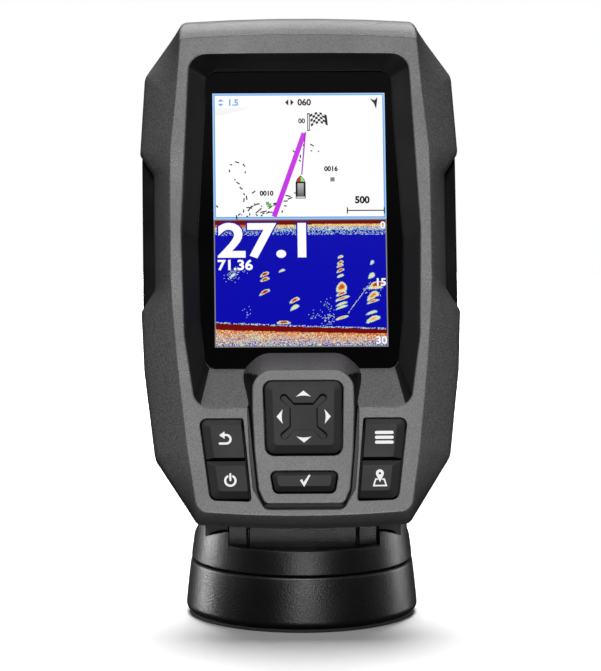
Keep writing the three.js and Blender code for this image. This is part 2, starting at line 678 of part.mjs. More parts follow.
add(fishFinder, 'foot_pad', footPad(), sealRubber);
add(fishFinder, 'base_shell', baseShell(), mountPlastic);
add(fishFinder, 'friction_ring', frictionRing(), dullPlastic);
add(fishFinder, 'swivel_washer', swivelWasher(), steel);
add(fishFinder, 'swivel_screw', swivelScrew(), steel);
add(fishFinder, 'swivel_body', swivelBody(), mountPlastic);
add(fishFinder, 'tilt_pin', tiltPin(), steel);
[['right', 1], ['left', -1]].forEach(([name, side]) => {
  add(fishFinder, `ear_cap_${name}`, earCap(side), mountPlastic);
  add(fishFinder, `tilt_washer_${name}`, tiltWasher(side), steel);
});

add(headGroup, 'cradle', cradle(), mountPlastic);
add(headGroup, 'front_bezel', frontBezel(), casePlastic);
add(headGroup, 'rear_housing', rearHousing(), dullPlastic);
add(headGroup, 'housing_gasket', housingGasket(), sealRubber);
['upper_right', 'upper_left', 'lower_right', 'lower_left'].forEach((name, i) => {
  add(headGroup, `housing_screw_${name}`, housingScrew(HOUSING_SCREWS[i]), steel);
});
add(headGroup, 'vent_plug', ventPlug(), sealRubber);
add(headGroup, 'cover_glass', coverGlass(), screenGlass);
add(headGroup, 'glass_seal', glassSeal(), sealRubber);
add(headGroup, 'lcd_panel', lcdPanel(), displayFilm);
add(headGroup, 'backlight_tray', backlightTray(), steel);
add(headGroup, 'main_board', mainBoard(), boardGreen);
add(headGroup, 'keypad_board', keypadBoard(), boardGreen);
add(headGroup, 'keypad_membrane', keypadMembrane(), keyRubber);
add(headGroup, 'gps_antenna', gpsAntenna(), ceramic);
add(headGroup, 'sounder', sounder(), dullPlastic);
add(headGroup, 'display_ribbon', displayRibbon(), flexAmber);
add(headGroup, 'keypad_ribbon', keypadRibbon(), flexAmber);
add(headGroup, 'connector_shell', connectorShell(), dullPlastic);
add(headGroup, 'connector_insert', connectorInsert(), brass);
add(headGroup, 'connector_seal', connectorSeal(), sealRubber);

const UPPER_KEY = [-58, KEY_SPLIT_V - 0.2 + KEY_GAP];
const LOWER_KEY = [KEY_SPLIT_V + 0.2 - KEY_GAP, -81.6];
add(headGroup, 'back_key', sideKey(-1, ...UPPER_KEY, KEY_CENTRES.back), keyRubber);
add(headGroup, 'power_key', sideKey(-1, ...LOWER_KEY, KEY_CENTRES.power), keyRubber);
add(headGroup, 'menu_key', sideKey(1, ...UPPER_KEY, KEY_CENTRES.menu), keyRubber);
add(headGroup, 'waypoint_key', sideKey(1, ...LOWER_KEY, KEY_CENTRES.waypoint), keyRubber);
add(headGroup, 'select_key', selectKey(), keyRubber);
add(headGroup, 'pad_cap', padCap(), keyRubber);
add(headGroup, 'pad_rocker', padRocker(), dullPlastic);
Object.entries(KEY_CENTRES).forEach(([name, centre]) => {
  add(headGroup, `${name}_dome`, dome(centre), steel);
});
['up', 'down', 'left', 'right'].forEach((name, i) => {
  add(headGroup, `${name}_dome`, dome(padSwitches()[i]), steel);
});

export default fishFinder;
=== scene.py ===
import json
import math

import bmesh
import bpy
import numpy as np
from mathutils import Matrix, Vector

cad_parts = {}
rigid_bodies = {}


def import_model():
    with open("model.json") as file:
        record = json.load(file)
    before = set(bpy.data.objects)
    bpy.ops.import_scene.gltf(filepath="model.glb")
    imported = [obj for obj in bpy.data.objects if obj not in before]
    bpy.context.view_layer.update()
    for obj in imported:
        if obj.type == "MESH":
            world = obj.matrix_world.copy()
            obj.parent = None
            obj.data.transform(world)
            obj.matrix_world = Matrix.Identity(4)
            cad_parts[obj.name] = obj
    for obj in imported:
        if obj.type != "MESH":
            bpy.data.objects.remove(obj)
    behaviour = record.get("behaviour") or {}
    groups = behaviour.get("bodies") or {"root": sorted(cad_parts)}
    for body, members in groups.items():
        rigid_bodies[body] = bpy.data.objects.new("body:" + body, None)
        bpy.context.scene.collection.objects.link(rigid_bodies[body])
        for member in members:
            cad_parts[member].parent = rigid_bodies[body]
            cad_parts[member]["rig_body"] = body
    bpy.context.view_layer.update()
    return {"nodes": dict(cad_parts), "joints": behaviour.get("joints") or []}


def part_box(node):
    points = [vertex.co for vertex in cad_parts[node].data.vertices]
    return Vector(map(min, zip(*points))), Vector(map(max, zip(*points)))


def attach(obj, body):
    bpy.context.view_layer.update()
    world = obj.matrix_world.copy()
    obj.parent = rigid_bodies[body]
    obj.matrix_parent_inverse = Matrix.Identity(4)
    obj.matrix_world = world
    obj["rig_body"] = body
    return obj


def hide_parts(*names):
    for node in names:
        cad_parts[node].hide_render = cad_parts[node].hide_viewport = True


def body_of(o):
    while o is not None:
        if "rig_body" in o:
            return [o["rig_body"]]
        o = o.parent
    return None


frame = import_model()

MM = 0.001
rng = np.random.default_rng(7)


# ---- The frame's own places: the tilt pin, the head's axes and the middle of the screen ----

def joint(name):
    return next(j for j in frame["joints"] if j["name"] == name)


TILT_PIN = Vector(joint("tilt")["pos_m"])
UP = Vector(joint("head_release")["axis"]).normalized()
OUT = -Vector(joint("back_press")["axis"]).normalized()
ACROSS = UP.cross(OUT)
PANEL_LOW, PANEL_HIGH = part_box("lcd_panel")
SCREEN_CENTRE_U = ((PANEL_LOW + PANEL_HIGH) / 2 - TILT_PIN).dot(UP) / MM
SCREEN_CENTRE = TILT_PIN + UP * SCREEN_CENTRE_U * MM


def axes_at(origin, x_axis, y_axis, z_axis):
    """A matrix that takes millimetres along three axes to metres in the frame."""
    matrix = Matrix((x_axis, y_axis, z_axis)).transposed() * MM
    matrix = matrix.to_4x4()
    matrix.translation = origin
    return matrix


# The head's axes: x across, v up from the screen's middle, n forwards from the tilt pin.
HEAD = axes_at(SCREEN_CENTRE, ACROSS, UP, OUT)
WORLD = axes_at(Vector((0, 0, 0)), Vector((1, 0, 0)), Vector((0, 1, 0)), Vector((0, 0, 1)))


# ---- The head's levels and outlines in mm: right halves, top to bottom, as (x, v, corner radius) ----

FACE_N = 24.5
WING_N = 16.5
SEAM_N = 14.0
WINDOW_N = 20.0
FLANGE_N = 19.4
GLASS_N = 19.1
GLASS_BACK_N = 17.6
KEY_ROOF_N = 22.5
ISLAND_N = 26.3
DISPLAY_WIDTH = 48.96
DISPLAY_HEIGHT = 74.5

FACE_EDGE = [(33.8, 53.3, 1.6), (35.3, 36, 3), (36.9, 21, 2), (37.1, 13, 2), (37.1, -17, 2),
             (36.8, -25, 2), (35.5, -42, 4), (32.9, -67, 4), (30.2, -85.0, 3.5)]
WING_EDGE = [(32.4, 60.0, 2), (43.6, 43.8, 5), (45.1, 21.5, 2), (41.3, 15.4, 2), (41.3, -18.7, 2),
             (45.1, -24.8, 2), (44.4, -42, 4), (41.6, -67, 4), (29.9, -86.2, 2)]
RECESS_LIP = [(31.2, 48.5, 5), (33.95, -3, 20), (33.3, -34, 8), (30.3, -55.3, 5)]
WINDOW_EDGE = [(25.8, 44.8, 3), (28.9, -5, 20), (28.4, -28, 8), (27, -42.6, 3)]
HUMP_FOOT = [(11.6, -38.1, 7), (17.3, -43.4, 6), (16, -55, 3), (14.4, -67, 3), (13.3, -78.5, 3),
             (11, -83.4, 2)]
ISLAND_TOP = [(10.9, -44.4, 5), (14.3, -47.9, 5), (14.4, -55.6, 3), (13.9, -67.9, 3), (12.9, -78.9, 3),
              (11.2, -83, 2)]
GROOVE_EDGE = [(15.7, -54, 1), (15.2, -67.9, 2), (14.3, -78.5, 3), (11, -84.4, 2.4)]
CAVITY_EDGE = [(27, 52, 3), (36, 39.5, 4), (36, -24, 4), (34.2, -59, 4), (25.4, -81.2, 3)]
KEY_CAVITY_EDGE = [(31, -57.3, 1), (27.8, -82.6, 1)]
PAD_OPENING = [(11.35, -47.5, 2.6), (10.8, -69.3, 2.6)]
SELECT_OPENING = [(9.75, -73.6, 1.7), (8.65, -80.2, 1.7)]
SIDE_KEYS_OPENING = [(17, -58, 0.8), (29.3, -58, 2), (26.4, -81.6, 2.2), (14.9, -82, 0.8)]
TOP_CROWN = 1.1     # how much higher the top edges stand in the middle than at their corners
BOTTOM_CROWN = 1.3  # and how much lower the bottom edge
TOP_CROWN_V, TOP_CROWN_HALF = 47, 33
BOTTOM_CROWN_V, BOTTOM_CROWN_HALF = -78, 30


# ---- Outline geometry ----

def whole(half):
    """A closed outline from its right half and the mirror image."""
    return list(half) + [(-x, v, r) for x, v, r in reversed(half)]


def mirrored(corners):
    return [(-x, v, r) for x, v, r in reversed(corners)]


def grown(corners, distance):
    """The outline with every edge moved outwards by a distance."""
    points = [Vector((x, v)) for x, v, _ in corners]
    count = len(points)
    area = sum(points[i].cross(points[(i + 1) % count]) for i in range(count))
    turn = 1 if area > 0 else -1
    moved = []
    for i, (_, _, radius) in enumerate(corners):
        before = (points[i] - points[i - 1]).normalized()
        after = (points[(i + 1) % count] - points[i]).normalized()
        normal_before = Vector((before.y, -before.x)) * turn
        normal_after = Vector((after.y, -after.x)) * turn
        bisector = normal_before + normal_after
        shift = bisector * (2 * distance / bisector.length_squared) if bisector.length > 0.2 else bisector
        convex = before.cross(after) * turn > 0
        new_radius = radius + distance if convex else radius - distance
        spot = points[i] + shift
        moved.append((spot.x, spot.y, max(new_radius, 0.05)))
    return moved


def inset_edges(corners, insets):
    """The outline with each edge, from one corner to the next, moved inwards by its own amount."""
    points = [Vector((x, v)) for x, v, _ in corners]
    count = len(points)
    area = sum(points[i].cross(points[(i + 1) % count]) for i in range(count))
    turn = 1 if area > 0 else -1
    lines = []
    for i in range(count):
        along = (points[(i + 1) % count] - points[i]).normalized()
        inward = Vector((-along.y, along.x)) * turn
        lines.append((points[i] + inward * insets[i], along))
    result = []
    for i in range(count):
        (p, d), (q, e) = lines[i - 1], lines[i]
        t = (q - p).cross(e) / d.cross(e)
        spot = p + d * t
        result.append((spot.x, spot.y, max(corners[i][2] - 0.5 * (insets[i - 1] + insets[i]) * 0.5, 0.25)))
    return result


def rounded(corners, steps=7, spans=5):
    """Points round a closed outline: an arc of `steps` parts at each corner, `spans` parts on each side."""
    points = [Vector((x, v)) for x, v, _ in corners]
    count = len(points)
    arcs = []
    for i, (_, _, radius) in enumerate(corners):
        here = points[i]
        to_before = points[i - 1] - here
        to_after = points[(i + 1) % count] - here
        reach_limit = 0.47 * min(to_before.length, to_after.length)
        d1, d2 = to_before.normalized(), to_after.normalized()
        half = math.acos(max(-1.0, min(1.0, d1.dot(d2)))) / 2
        reach = min(radius / math.tan(half), reach_limit) if half < math.pi / 2 - 1e-4 else 0.01
        true_radius = reach * math.tan(half)
        start, end = here + d1 * reach, here + d2 * reach
        bisector = d1 + d2
        if bisector.length < 1e-4:
            arcs.append([start.lerp(end, k / steps) for k in range(steps + 1)])
            continue
        centre = here + bisector.normalized() * (true_radius / math.sin(half))
        a0 = math.atan2(start.y - centre.y, start.x - centre.x)
        a1 = math.atan2(end.y - centre.y, end.x - centre.x)
        sweep = (a1 - a0 + math.pi) % (2 * math.pi) - math.pi
        arcs.append([centre + true_radius * Vector((math.cos(a0 + sweep * k / steps),
                                                    math.sin(a0 + sweep * k / steps)))
                     for k in range(steps + 1)])
    loop = []
    for i, arc in enumerate(arcs):
        loop.extend(arc)
        following = arcs[(i + 1) % count][0]
        loop.extend(arc[-1].lerp(following, k / spans) for k in range(1, spans))
    return loop


def blended(first, second, share):
    return [tuple(a + (b - a) * share for a, b in zip(p, q)) for p, q in zip(first, second)]


def crowned(x, v):
    """The head's top and bottom edges are slightly arched."""
    if v > TOP_CROWN_V:
        return v + TOP_CROWN * max(0.0, 1 - (x / TOP_CROWN_HALF) ** 2) * min(1.0, (v - TOP_CROWN_V) / 5)
    if v < BOTTOM_CROWN_V:
        arch = max(0.0, 1 - (x / BOTTOM_CROWN_HALF) ** 2)
        return v - BOTTOM_CROWN * arch * min(1.0, (BOTTOM_CROWN_V - v) / 6)
    return v


def ring(corners, n, grow=0.0, steps=7, spans=5, crown=False):
    loop = rounded(grown(corners, grow) if grow else corners, steps, spans)
    return [(p.x, crowned(p.x, p.y) if crown else p.y, n) for p in loop]


# ---- Meshes ----

def new_object(name, data):
    made = bpy.data.objects.new(name, data)
    bpy.context.scene.collection.objects.link(made)
    return made


def from_faces(name, points, faces):
    mesh = bpy.data.meshes.new(name)
    mesh.from_pydata([tuple(p) for p in points], [], faces)
    mesh.validate()
    bm = bmesh.new()
    bm.from_mesh(mesh)
    bmesh.ops.recalc_face_normals(bm, faces=bm.faces)
    bm.to_mesh(mesh)
    bm.free()
    return new_object(name, mesh)


def lofted(name, rings):
    """A closed solid through rings of equal length."""
    count = len(rings[0])
    points = [p for loop in rings for p in loop]
    faces = []
    for level in range(len(rings) - 1):
        low, high = level * count, (level + 1) * count
        for i in range(count):
            j = (i + 1) % count
            faces.append((low + i, low + j, high + j, high + i))
    faces.append(tuple(range(count - 1, -1, -1)))
    faces.append(tuple((len(rings) - 1) * count + i for i in range(count)))
    return from_faces(name, points, faces)


def box_mesh(name, x0, x1, y0, y1, z0, z1):
    return lofted(name, [[(x0, y0, z), (x1, y0, z), (x1, y1, z), (x0, y1, z)] for z in (z0, z1)])


def apply_modifiers(piece):
    bpy.context.view_layer.update()
    graph = bpy.context.evaluated_depsgraph_get()
    mesh = bpy.data.meshes.new_from_object(piece.evaluated_get(graph))
    old = piece.data
    piece.modifiers.clear()
    piece.data = mesh
    bpy.data.meshes.remove(old)


def combine(base, tool, operation):
    change = base.modifiers.new("combine", "BOOLEAN")
    change.operation = operation
    change.solver = "MANIFOLD"
    change.object = tool
    apply_modifiers(base)
    old = tool.data
    bpy.data.objects.remove(tool)
    bpy.data.meshes.remove(old)


def cut(base, *tools):
    for tool in tools:
        combine(base, tool, "DIFFERENCE")


def join(base, *tools):
    for tool in tools:
        combine(base, tool, "UNION")


WELD_DISTANCE = 0.002
BEVEL_SEGMENTS = 2


def finish_surface(piece, sharp_angle, bevel=0.0, bevel_angle=32):
    """Welds the mesh, bevels its edges when a width is given and marks the sharp ones."""
    bm = bmesh.new()
    bm.from_mesh(piece.data)
    bmesh.ops.remove_doubles(bm, verts=bm.verts, dist=WELD_DISTANCE)
    bmesh.ops.dissolve_degenerate(bm, edges=bm.edges, dist=0.001)
    if bevel:
        bmesh.ops.dissolve_limit(bm, angle_limit=math.radians(1), verts=bm.verts, edges=bm.edges)
        bm.to_mesh(piece.data)
        bm.free()
        rounding = piece.modifiers.new("rounding", "BEVEL")
        rounding.width = bevel
        rounding.segments = BEVEL_SEGMENTS
        rounding.limit_method = "ANGLE"
        rounding.angle_limit = math.radians(bevel_angle)
        apply_modifiers(piece)
        bm = bmesh.new()
        bm.from_mesh(piece.data)
    for face in bm.faces:
        face.smooth = True
    for edge in bm.edges:
        edge.smooth = len(edge.link_faces) == 2 and edge.calc_face_angle(0) < math.radians(sharp_angle)
    bm.to_mesh(piece.data)
    bm.free()


def place(piece, matrix, body, material, replaces=(), weighted=True):
    """Puts a piece made in millimetres into the frame and lets it ride on a body."""
    piece.data.transform(matrix)
    if weighted:
        even = piece.modifiers.new("even", "WEIGHTED_NORMAL")
        even.keep_sharp = True
        apply_modifiers(piece)
    piece.data.materials.clear()
    piece.data.materials.append(material)
    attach(piece, body)
    if replaces:
        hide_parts(*replaces)


def refinish(piece, matrix, material, chosen):
    """Gives the faces that `chosen` picks, by middle and normal in the drawing's axes, another material."""
    back = matrix.inverted()
    turn = back.to_3x3()
    piece.data.materials.append(material)
    for face in piece.data.polygons:
        if chosen(back @ face.center, (turn @ face.normal).normalized()):
            face.material_index = len(piece.data.materials) - 1


# ---- Materials ----

def link(tree, source, target):
    tree.links.new(source, target)


def node(tree, kind, **settings):
    made = tree.nodes.new(kind)
    for name, value in settings.items():
        setattr(made, name, value)
    return made


def set_inputs(part, values):
    """Constant values on a node's own sockets."""
    for name, value in values.items():
        part.inputs[name].default_value = value


def principled(name):
    material = bpy.data.materials.new(name)
    material.use_nodes = True
    tree = material.node_tree
    shader = next(n for n in tree.nodes if n.type == "BSDF_PRINCIPLED")
    return material, tree, shader


def noise(tree, scale, detail=3.0, roughness=0.55):
    """Noise fixed to the piece, with `scale` features to the metre."""
    place_of = node(tree, "ShaderNodeTexCoord")
    made = node(tree, "ShaderNodeTexNoise")
    set_inputs(made, {"Scale": scale, "Detail": detail, "Roughness": roughness})
    link(tree, place_of.outputs["Object"], made.inputs["Vector"])
    return made.outputs["Fac"]


NOISE_LOW, NOISE_HIGH = 0.3, 0.7  # nearly all noise values lie between these


def ramp(tree, source, low, high):
    """Turns a factor into a colour between two colours."""
    made = node(tree, "ShaderNodeValToRGB")
    made.color_ramp.elements[0].position = NOISE_LOW
    made.color_ramp.elements[1].position = NOISE_HIGH
    made.color_ramp.elements[0].color = (*low, 1)
    made.color_ramp.elements[1].color = (*high, 1)
    link(tree, source, made.inputs["Fac"])
    return made.outputs["Color"]


def ranged(tree, source, low, high):
    """Spreads a factor between two values."""
    made = node(tree, "ShaderNodeMapRange")
    set_inputs(made, {"From Min": NOISE_LOW, "From Max": NOISE_HIGH, "To Min": low, "To Max": high})
    link(tree, source, made.inputs["Value"])
    return made.outputs["Result"]


EDGE_HIGHLIGHT_AND_WEAR = 1.5          # edges are painted this much paler: a painted highlight along them, partly wear
GRAIN_HEIGHT = 0.00008   # metres


def moulded(name, shade, roughness, grain=2600.0, depth=0.5, specular=0.5, variation=0.22):
    """Moulded plastic or rubber: fine spark-eroded grain, slight mottling, and edges painted a little paler,
    a painted highlight along them that also stands for wear.
    """
    material, tree, shader = principled(name)
    low = (shade * (1 - variation),) * 3
    high = (shade * (1 + variation),) * 3
    fine = noise(tree, grain, 2.0, 0.6)
    broad = noise(tree, 60.0, 3.0)
    speckle = ramp(tree, fine, low, high)
    # Convex edges, found by pointiness, are painted paler: a painted edge highlight, partly wear.
    highlight_and_wear = (min(1.0, shade * EDGE_HIGHLIGHT_AND_WEAR),) * 3
    geometry = node(tree, "ShaderNodeNewGeometry")
    edge = node(tree, "ShaderNodeMapRange")
    set_inputs(edge, {"From Min": 0.52, "From Max": 0.62, "To Max": 0.6})
    link(tree, geometry.outputs["Pointiness"], edge.inputs["Value"])
    mix = node(tree, "ShaderNodeMix", data_type="RGBA")
    link(tree, edge.outputs["Result"], mix.inputs["Factor"])
    link(tree, speckle, mix.inputs[6])
    mix.inputs[7].default_value = (*highlight_and_wear, 1)
    link(tree, mix.outputs[2], shader.inputs["Base Color"])
    link(tree, ranged(tree, broad, roughness - 0.04, roughness + 0.06), shader.inputs["Roughness"])
    shader.inputs["Specular IOR Level"].default_value = specular
    bump = node(tree, "ShaderNodeBump")
    set_inputs(bump, {"Strength": depth, "Distance": GRAIN_HEIGHT})
    link(tree, fine, bump.inputs["Height"])
    link(tree, bump.outputs["Normal"], shader.inputs["Normal"])
    return material


def glossy(name, shade, roughness, specular=0.5):
    """A hard smooth finish with faint smears in its gloss."""
    material, tree, shader = principled(name)
    smears = noise(tree, 45.0, 4.0)
    low = (shade * 0.9,) * 3
    high = (shade * 1.1,) * 3
    link(tree, ramp(tree, smears, low, high), shader.inputs["Base Color"])
    link(tree, ranged(tree, smears, roughness * 0.8, roughness * 1.3), shader.inputs["Roughness"])
    shader.inputs["Specular IOR Level"].default_value = specular
    return material


def metal(name, colour, roughness):
    """Bare metal with fine turning marks."""
    material, tree, shader = principled(name)
    marks = noise(tree, 1800.0, 2.0)
    low = tuple(c * 0.85 for c in colour)
    link(tree, ramp(tree, marks, low, colour), shader.inputs["Base Color"])
    link(tree, ranged(tree, marks, roughness, roughness + 0.15), shader.inputs["Roughness"])
    shader.inputs["Metallic"].default_value = 1.0
    return material


def printed(name, colour, roughness, glow):
    """Printed or moulded-in marks, very slightly uneven, with a faint painted glow of their own."""
    material, tree, shader = principled(name)
    ink = noise(tree, 900.0, 2.0)
    low = tuple(c * 0.94 for c in colour)
    link(tree, ramp(tree, ink, low, colour), shader.inputs["Base Color"])
    link(tree, ranged(tree, ink, roughness, roughness + 0.1), shader.inputs["Roughness"])
    # The emission is painted light: the print glows a little by itself.
    set_inputs(shader, {"Emission Color": (*colour, 1), "Emission Strength": glow})
    return material


BEZEL = moulded("bezel_plastic", 0.038, 0.45, grain=2200.0, depth=1.0, specular=0.55, variation=0.45)
HOUSING = moulded("housing_plastic", 0.012, 0.5, depth=0.5, specular=0.4)
MOUNT = moulded("mount_plastic", 0.004, 0.34, grain=2400.0, depth=1.0, specular=0.5)
BEARING = moulded("bearing_plastic", 0.5, 0.5, depth=0.1)
KEY = moulded("key_rubber", 0.022, 0.6, grain=3600.0, depth=0.2, specular=0.4, variation=0.08)
# Polished and far darker than the bezel: partly the walls' own finish, partly painted shade in the recess,
# groove and island flanks.
POLISHED_PAINTED_SHADE = glossy("polished_painted_shade_plastic", 0.003, 0.3, 0.2)
# Darker and duller than the housing: painted shade on the housing's forward-facing faces, which also have a
# smooth finish of their own.
DULL_PAINTED_SHADE = glossy("dull_painted_shade_plastic", 0.006, 0.65, 0.06)
SEAL = moulded("seal_rubber", 0.012, 0.7, depth=0.15, specular=0.3)
FOOT = moulded("foot_rubber", 0.02, 0.75, depth=0.3, specular=0.3)
GLASS = glossy("cover_glass", 0.003, 0.08, 0.002)
STEEL = metal("steel", (0.62, 0.62, 0.64), 0.25)
BRASS = metal("contact_brass", (0.8, 0.58, 0.25), 0.25)
BOARD = glossy("circuit_board", 0.05, 0.4)
FILM = glossy("flex_film", 0.2, 0.3)
CERAMIC = glossy("ceramic", 0.6, 0.35)
PANEL = glossy("display_panel", 0.02, 0.2)
WHITE_PRINT = printed("white_print", (0.9, 0.9, 0.9), 0.45, 0.25)

SLOT_MATERIALS = {
    "bezel_plastic": BEZEL, "housing_plastic": HOUSING, "mount_plastic": MOUNT, "bearing_plastic": BEARING,
    "key_rubber": KEY, "seal_rubber": SEAL, "foot_rubber": FOOT, "cover_glass": GLASS, "display": PANEL,
    "steel": STEEL, "contact_brass": BRASS, "circuit_board": BOARD, "flex_film": FILM, "ceramic": CERAMIC,
}


def dress_cad_nodes():
    """Every CAD node gets the finish of its own slot, which is the name of the material it came with."""
    for piece in frame["nodes"].values():
        slot_name = piece.data.materials[0].name.split(".")[0]
        piece.material_slots[0].material = SLOT_MATERIALS[slot_name]


# ---- Head: bezel ----

RIDGE_FILLET = 0.55
ARC = [math.radians(a) for a in (0, 22.5, 45, 67.5, 90)]


def flared_hole(name, corners, bottom, top, fillet):
    """A cutter whose mouth rounds the edge that it leaves."""
    rings = [ring(corners, bottom)]
    for angle in ARC:
        grow = fillet * (1 - math.cos(angle))
        rings.append(ring(corners, top - fillet + fillet * math.sin(angle), grow))
    rings.append(ring(corners, top + 2, fillet))
    return lofted(name, rings)


def bezel_shell():
    wing, face = whole(WING_EDGE), whole(FACE_EDGE)
    rings = [ring(wing, SEAM_N, crown=True), ring(wing, WING_N - 0.5, crown=True),
             ring(wing, WING_N, -0.12, crown=True)]
    height = FACE_N - WING_N
    for k in range(1, 12):
        share = k / 12 * 0.96
        bulge = 4 * share * (1 - share)
        corners = blended(wing, face, share)
        top_lift = [(x, v + (0.9 * bulge if v > 50 else 0), r) for x, v, r in corners]
        rings.append(ring(top_lift, WING_N + 0.15 + (height - 0.3) * share, 0.45 * bulge, crown=True))
    for angle in ARC[1:]:
        inward = -RIDGE_FILLET * (1 - math.cos(angle))
        rings.append(ring(face, FACE_N - 0.28 * (1 - math.sin(angle)), inward, crown=True))
    return lofted("bezel_shell", rings)


def recess_cutter():
    lip, window = whole(RECESS_LIP), whole(WINDOW_EDGE)
    rings = [ring(window, SEAM_N - 1, crown=True), ring(window, WINDOW_N - 0.15, crown=True)]
    for k in range(0, 9):
        share = 0.02 + 0.95 * k / 8
        rings.append(ring(blended(window, lip, share), WINDOW_N + (FACE_N - WINDOW_N) * share, crown=True))
    rings.append(ring(lip, FACE_N - 0.03, 0.12, crown=True))
    rings.append(ring(lip, FACE_N, 0.3, crown=True))
    rings.append(ring(lip, FACE_N + 3, 0.35, crown=True))
    return lofted("recess", rings)


def island():
    foot, top = whole(HUMP_FOOT), whole(ISLAND_TOP)
    rings = [ring(foot, FLANGE_N), ring(foot, WINDOW_N)]
    for k in range(1, 9):
        share = k / 9
        rings.append(ring(blended(foot, top, share), WINDOW_N + (ISLAND_N - WINDOW_N) * share,
                          0.25 * 4 * share * (1 - share)))
    for angle in ARC[1:]:
        rings.append(ring(top, ISLAND_N - 0.35 * (1 - math.sin(angle)), -0.45 * (1 - math.cos(angle))))
    return lofted("island", rings)


RECESS_MIDDLE_V = -3
RECESS_FOOT_V = -56.5
ISLAND_MIDDLE_V = -62
ISLAND_CORNER_X, ISLAND_CORNER_V = 9.5, -48.0
ISLAND_HALF = 17.4
GROOVE_FOOT_V = -83.0


def is_polished_wall_in_painted_shade(middle, normal):
    """The walls round the window, the groove and the island's flanks are polished and painted much darker,
    as painted shade, but not the slopes that face up.
    """
    x, v, n = middle
    sloping = 0.05 < normal.z < 0.97
    above_window = n > WINDOW_N - 0.2
    inwards = x * normal.x + (v - RECESS_MIDDLE_V) * normal.y < 0
    in_recess = inwards and normal.y < 0.3 and n < FACE_N - 0.1 and v > RECESS_FOOT_V
    outwards = x * normal.x + (v - ISLAND_MIDDLE_V) * normal.y > 0
    near_island = abs(x) < ISLAND_HALF and v > GROOVE_FOOT_V
    beside = v - ISLAND_CORNER_V < 0.6 * (abs(x) - ISLAND_CORNER_X)
    on_island = outwards and beside and n < ISLAND_N - 0.36 and near_island
    in_groove = near_island and n < FACE_N - 0.25 and v < RECESS_FOOT_V
    return above_window and (in_groove or sloping and (in_recess or on_island))


def front_bezel():
    bezel = bezel_shell()
    cut(bezel, recess_cutter(), flared_hole("groove", whole(GROOVE_EDGE), FACE_N - 1.1, FACE_N, 0.25))
    join(bezel, island())
    cut(bezel,
        lofted("cavity", [ring(whole(CAVITY_EDGE), n) for n in (SEAM_N - 2, FLANGE_N)]),
        lofted("key_cavity", [ring(whole(KEY_CAVITY_EDGE), n) for n in (SEAM_N - 2, KEY_ROOF_N)]),
        flared_hole("pad_hole", whole(PAD_OPENING), SEAM_N, ISLAND_N, 0.3),
        flared_hole("select_hole", whole(SELECT_OPENING), SEAM_N, ISLAND_N, 0.25),
        flared_hole("right_keys_hole", SIDE_KEYS_OPENING, SEAM_N, FACE_N, 0.25),
        flared_hole("left_keys_hole", mirrored(SIDE_KEYS_OPENING), SEAM_N, FACE_N, 0.25))
    finish_surface(bezel, 34)
    place(bezel, HEAD, "head", BEZEL, ["front_bezel"])
    # The recess walls, groove and island flanks take the darker polished finish as painted shade; the
    # up-facing slopes keep the bezel finish.
    refinish(bezel, HEAD, POLISHED_PAINTED_SHADE, is_polished_wall_in_painted_shade)


# ---- Head: keys ----

def key_block(name, outline, insets, base_n, edge_n, top_n, fillet=0.22):
    """A key cap: straight wall, bevel of its own width on each side, rounded edges and a flat top."""
    plateau = inset_edges(outline, insets)
    fine = dict(steps=5, spans=3)
    rings = [ring(outline, base_n, **fine), ring(outline, edge_n - fillet, **fine)]
    for angle in ARC[1:4]:
        level = edge_n - fillet * (1 - math.sin(angle))
        rings.append(ring(outline, level, -fillet * 0.6 * (1 - math.cos(angle)), **fine))
    for share in (0.12, 0.5, 0.86):
        level = edge_n + (top_n - edge_n) * share
        rings.append(ring(blended(outline, plateau, share), level, **fine))
    rings.append(ring(blended(outline, plateau, 0.95), top_n - 0.02, **fine))
    rings.append(ring(blended(outline, plateau, 1.04), top_n, **fine))
    return lofted(name, rings)


def side_opening_at(v):
    """Where the side keys' opening starts and ends across, at a height."""
    (x0, v0, _), (x1, _, _), (x2, v2, _), (x3, v3, _) = SIDE_KEYS_OPENING
    inner = x0 + (x3 - x0) * (v - v0) / (v3 - v0)
    outer = x1 + (x2 - x1) * (v - v0) / (v2 - v0)
    return inner, outer


SIDE_GAP = 0.42
KEY_BASE_N = 21.0
KEY_EDGE_N = 24.55
KEY_TOP_N = 25.5
SELECT_EDGE_N = 26.3
SELECT_TOP_N = 27.2


def side_key(name, top_v, foot_v, radii, insets, side):
    inner_top, outer_top = side_opening_at(top_v)
    inner_foot, outer_foot = side_opening_at(foot_v)
    outline = [(inner_top + SIDE_GAP, top_v, radii[0]), (outer_top - SIDE_GAP, top_v, radii[1]),
               (outer_foot - SIDE_GAP, foot_v, radii[2]), (inner_foot + SIDE_GAP, foot_v, radii[3])]
    if side < 0:
        outline = mirrored(outline)
        insets = [insets[2], insets[1], insets[0], insets[3]]
    return key_block(name, outline, insets, KEY_BASE_N, KEY_EDGE_N, KEY_TOP_N)


def side_keys():
    upper = dict(top_v=-58.42, foot_v=-69.95, radii=(0.5, 1.7, 0.25, 0.25), insets=[2.0, 2.4, 0.35, 0.3])
    lower = dict(top_v=-70.35, foot_v=-81.3, radii=(0.25, 0.25, 1.9, 0.5), insets=[1.7, 2.4, 2.1, 0.3])
    for name, spec, side in (("back_key", upper, -1), ("power_key", lower, -1),
                             ("menu_key", upper, 1), ("waypoint_key", lower, 1)):
        piece = side_key(name + "_cap", side=side, **spec)
        finish_surface(piece, 24)
        place(piece, HEAD, name, KEY, [name])


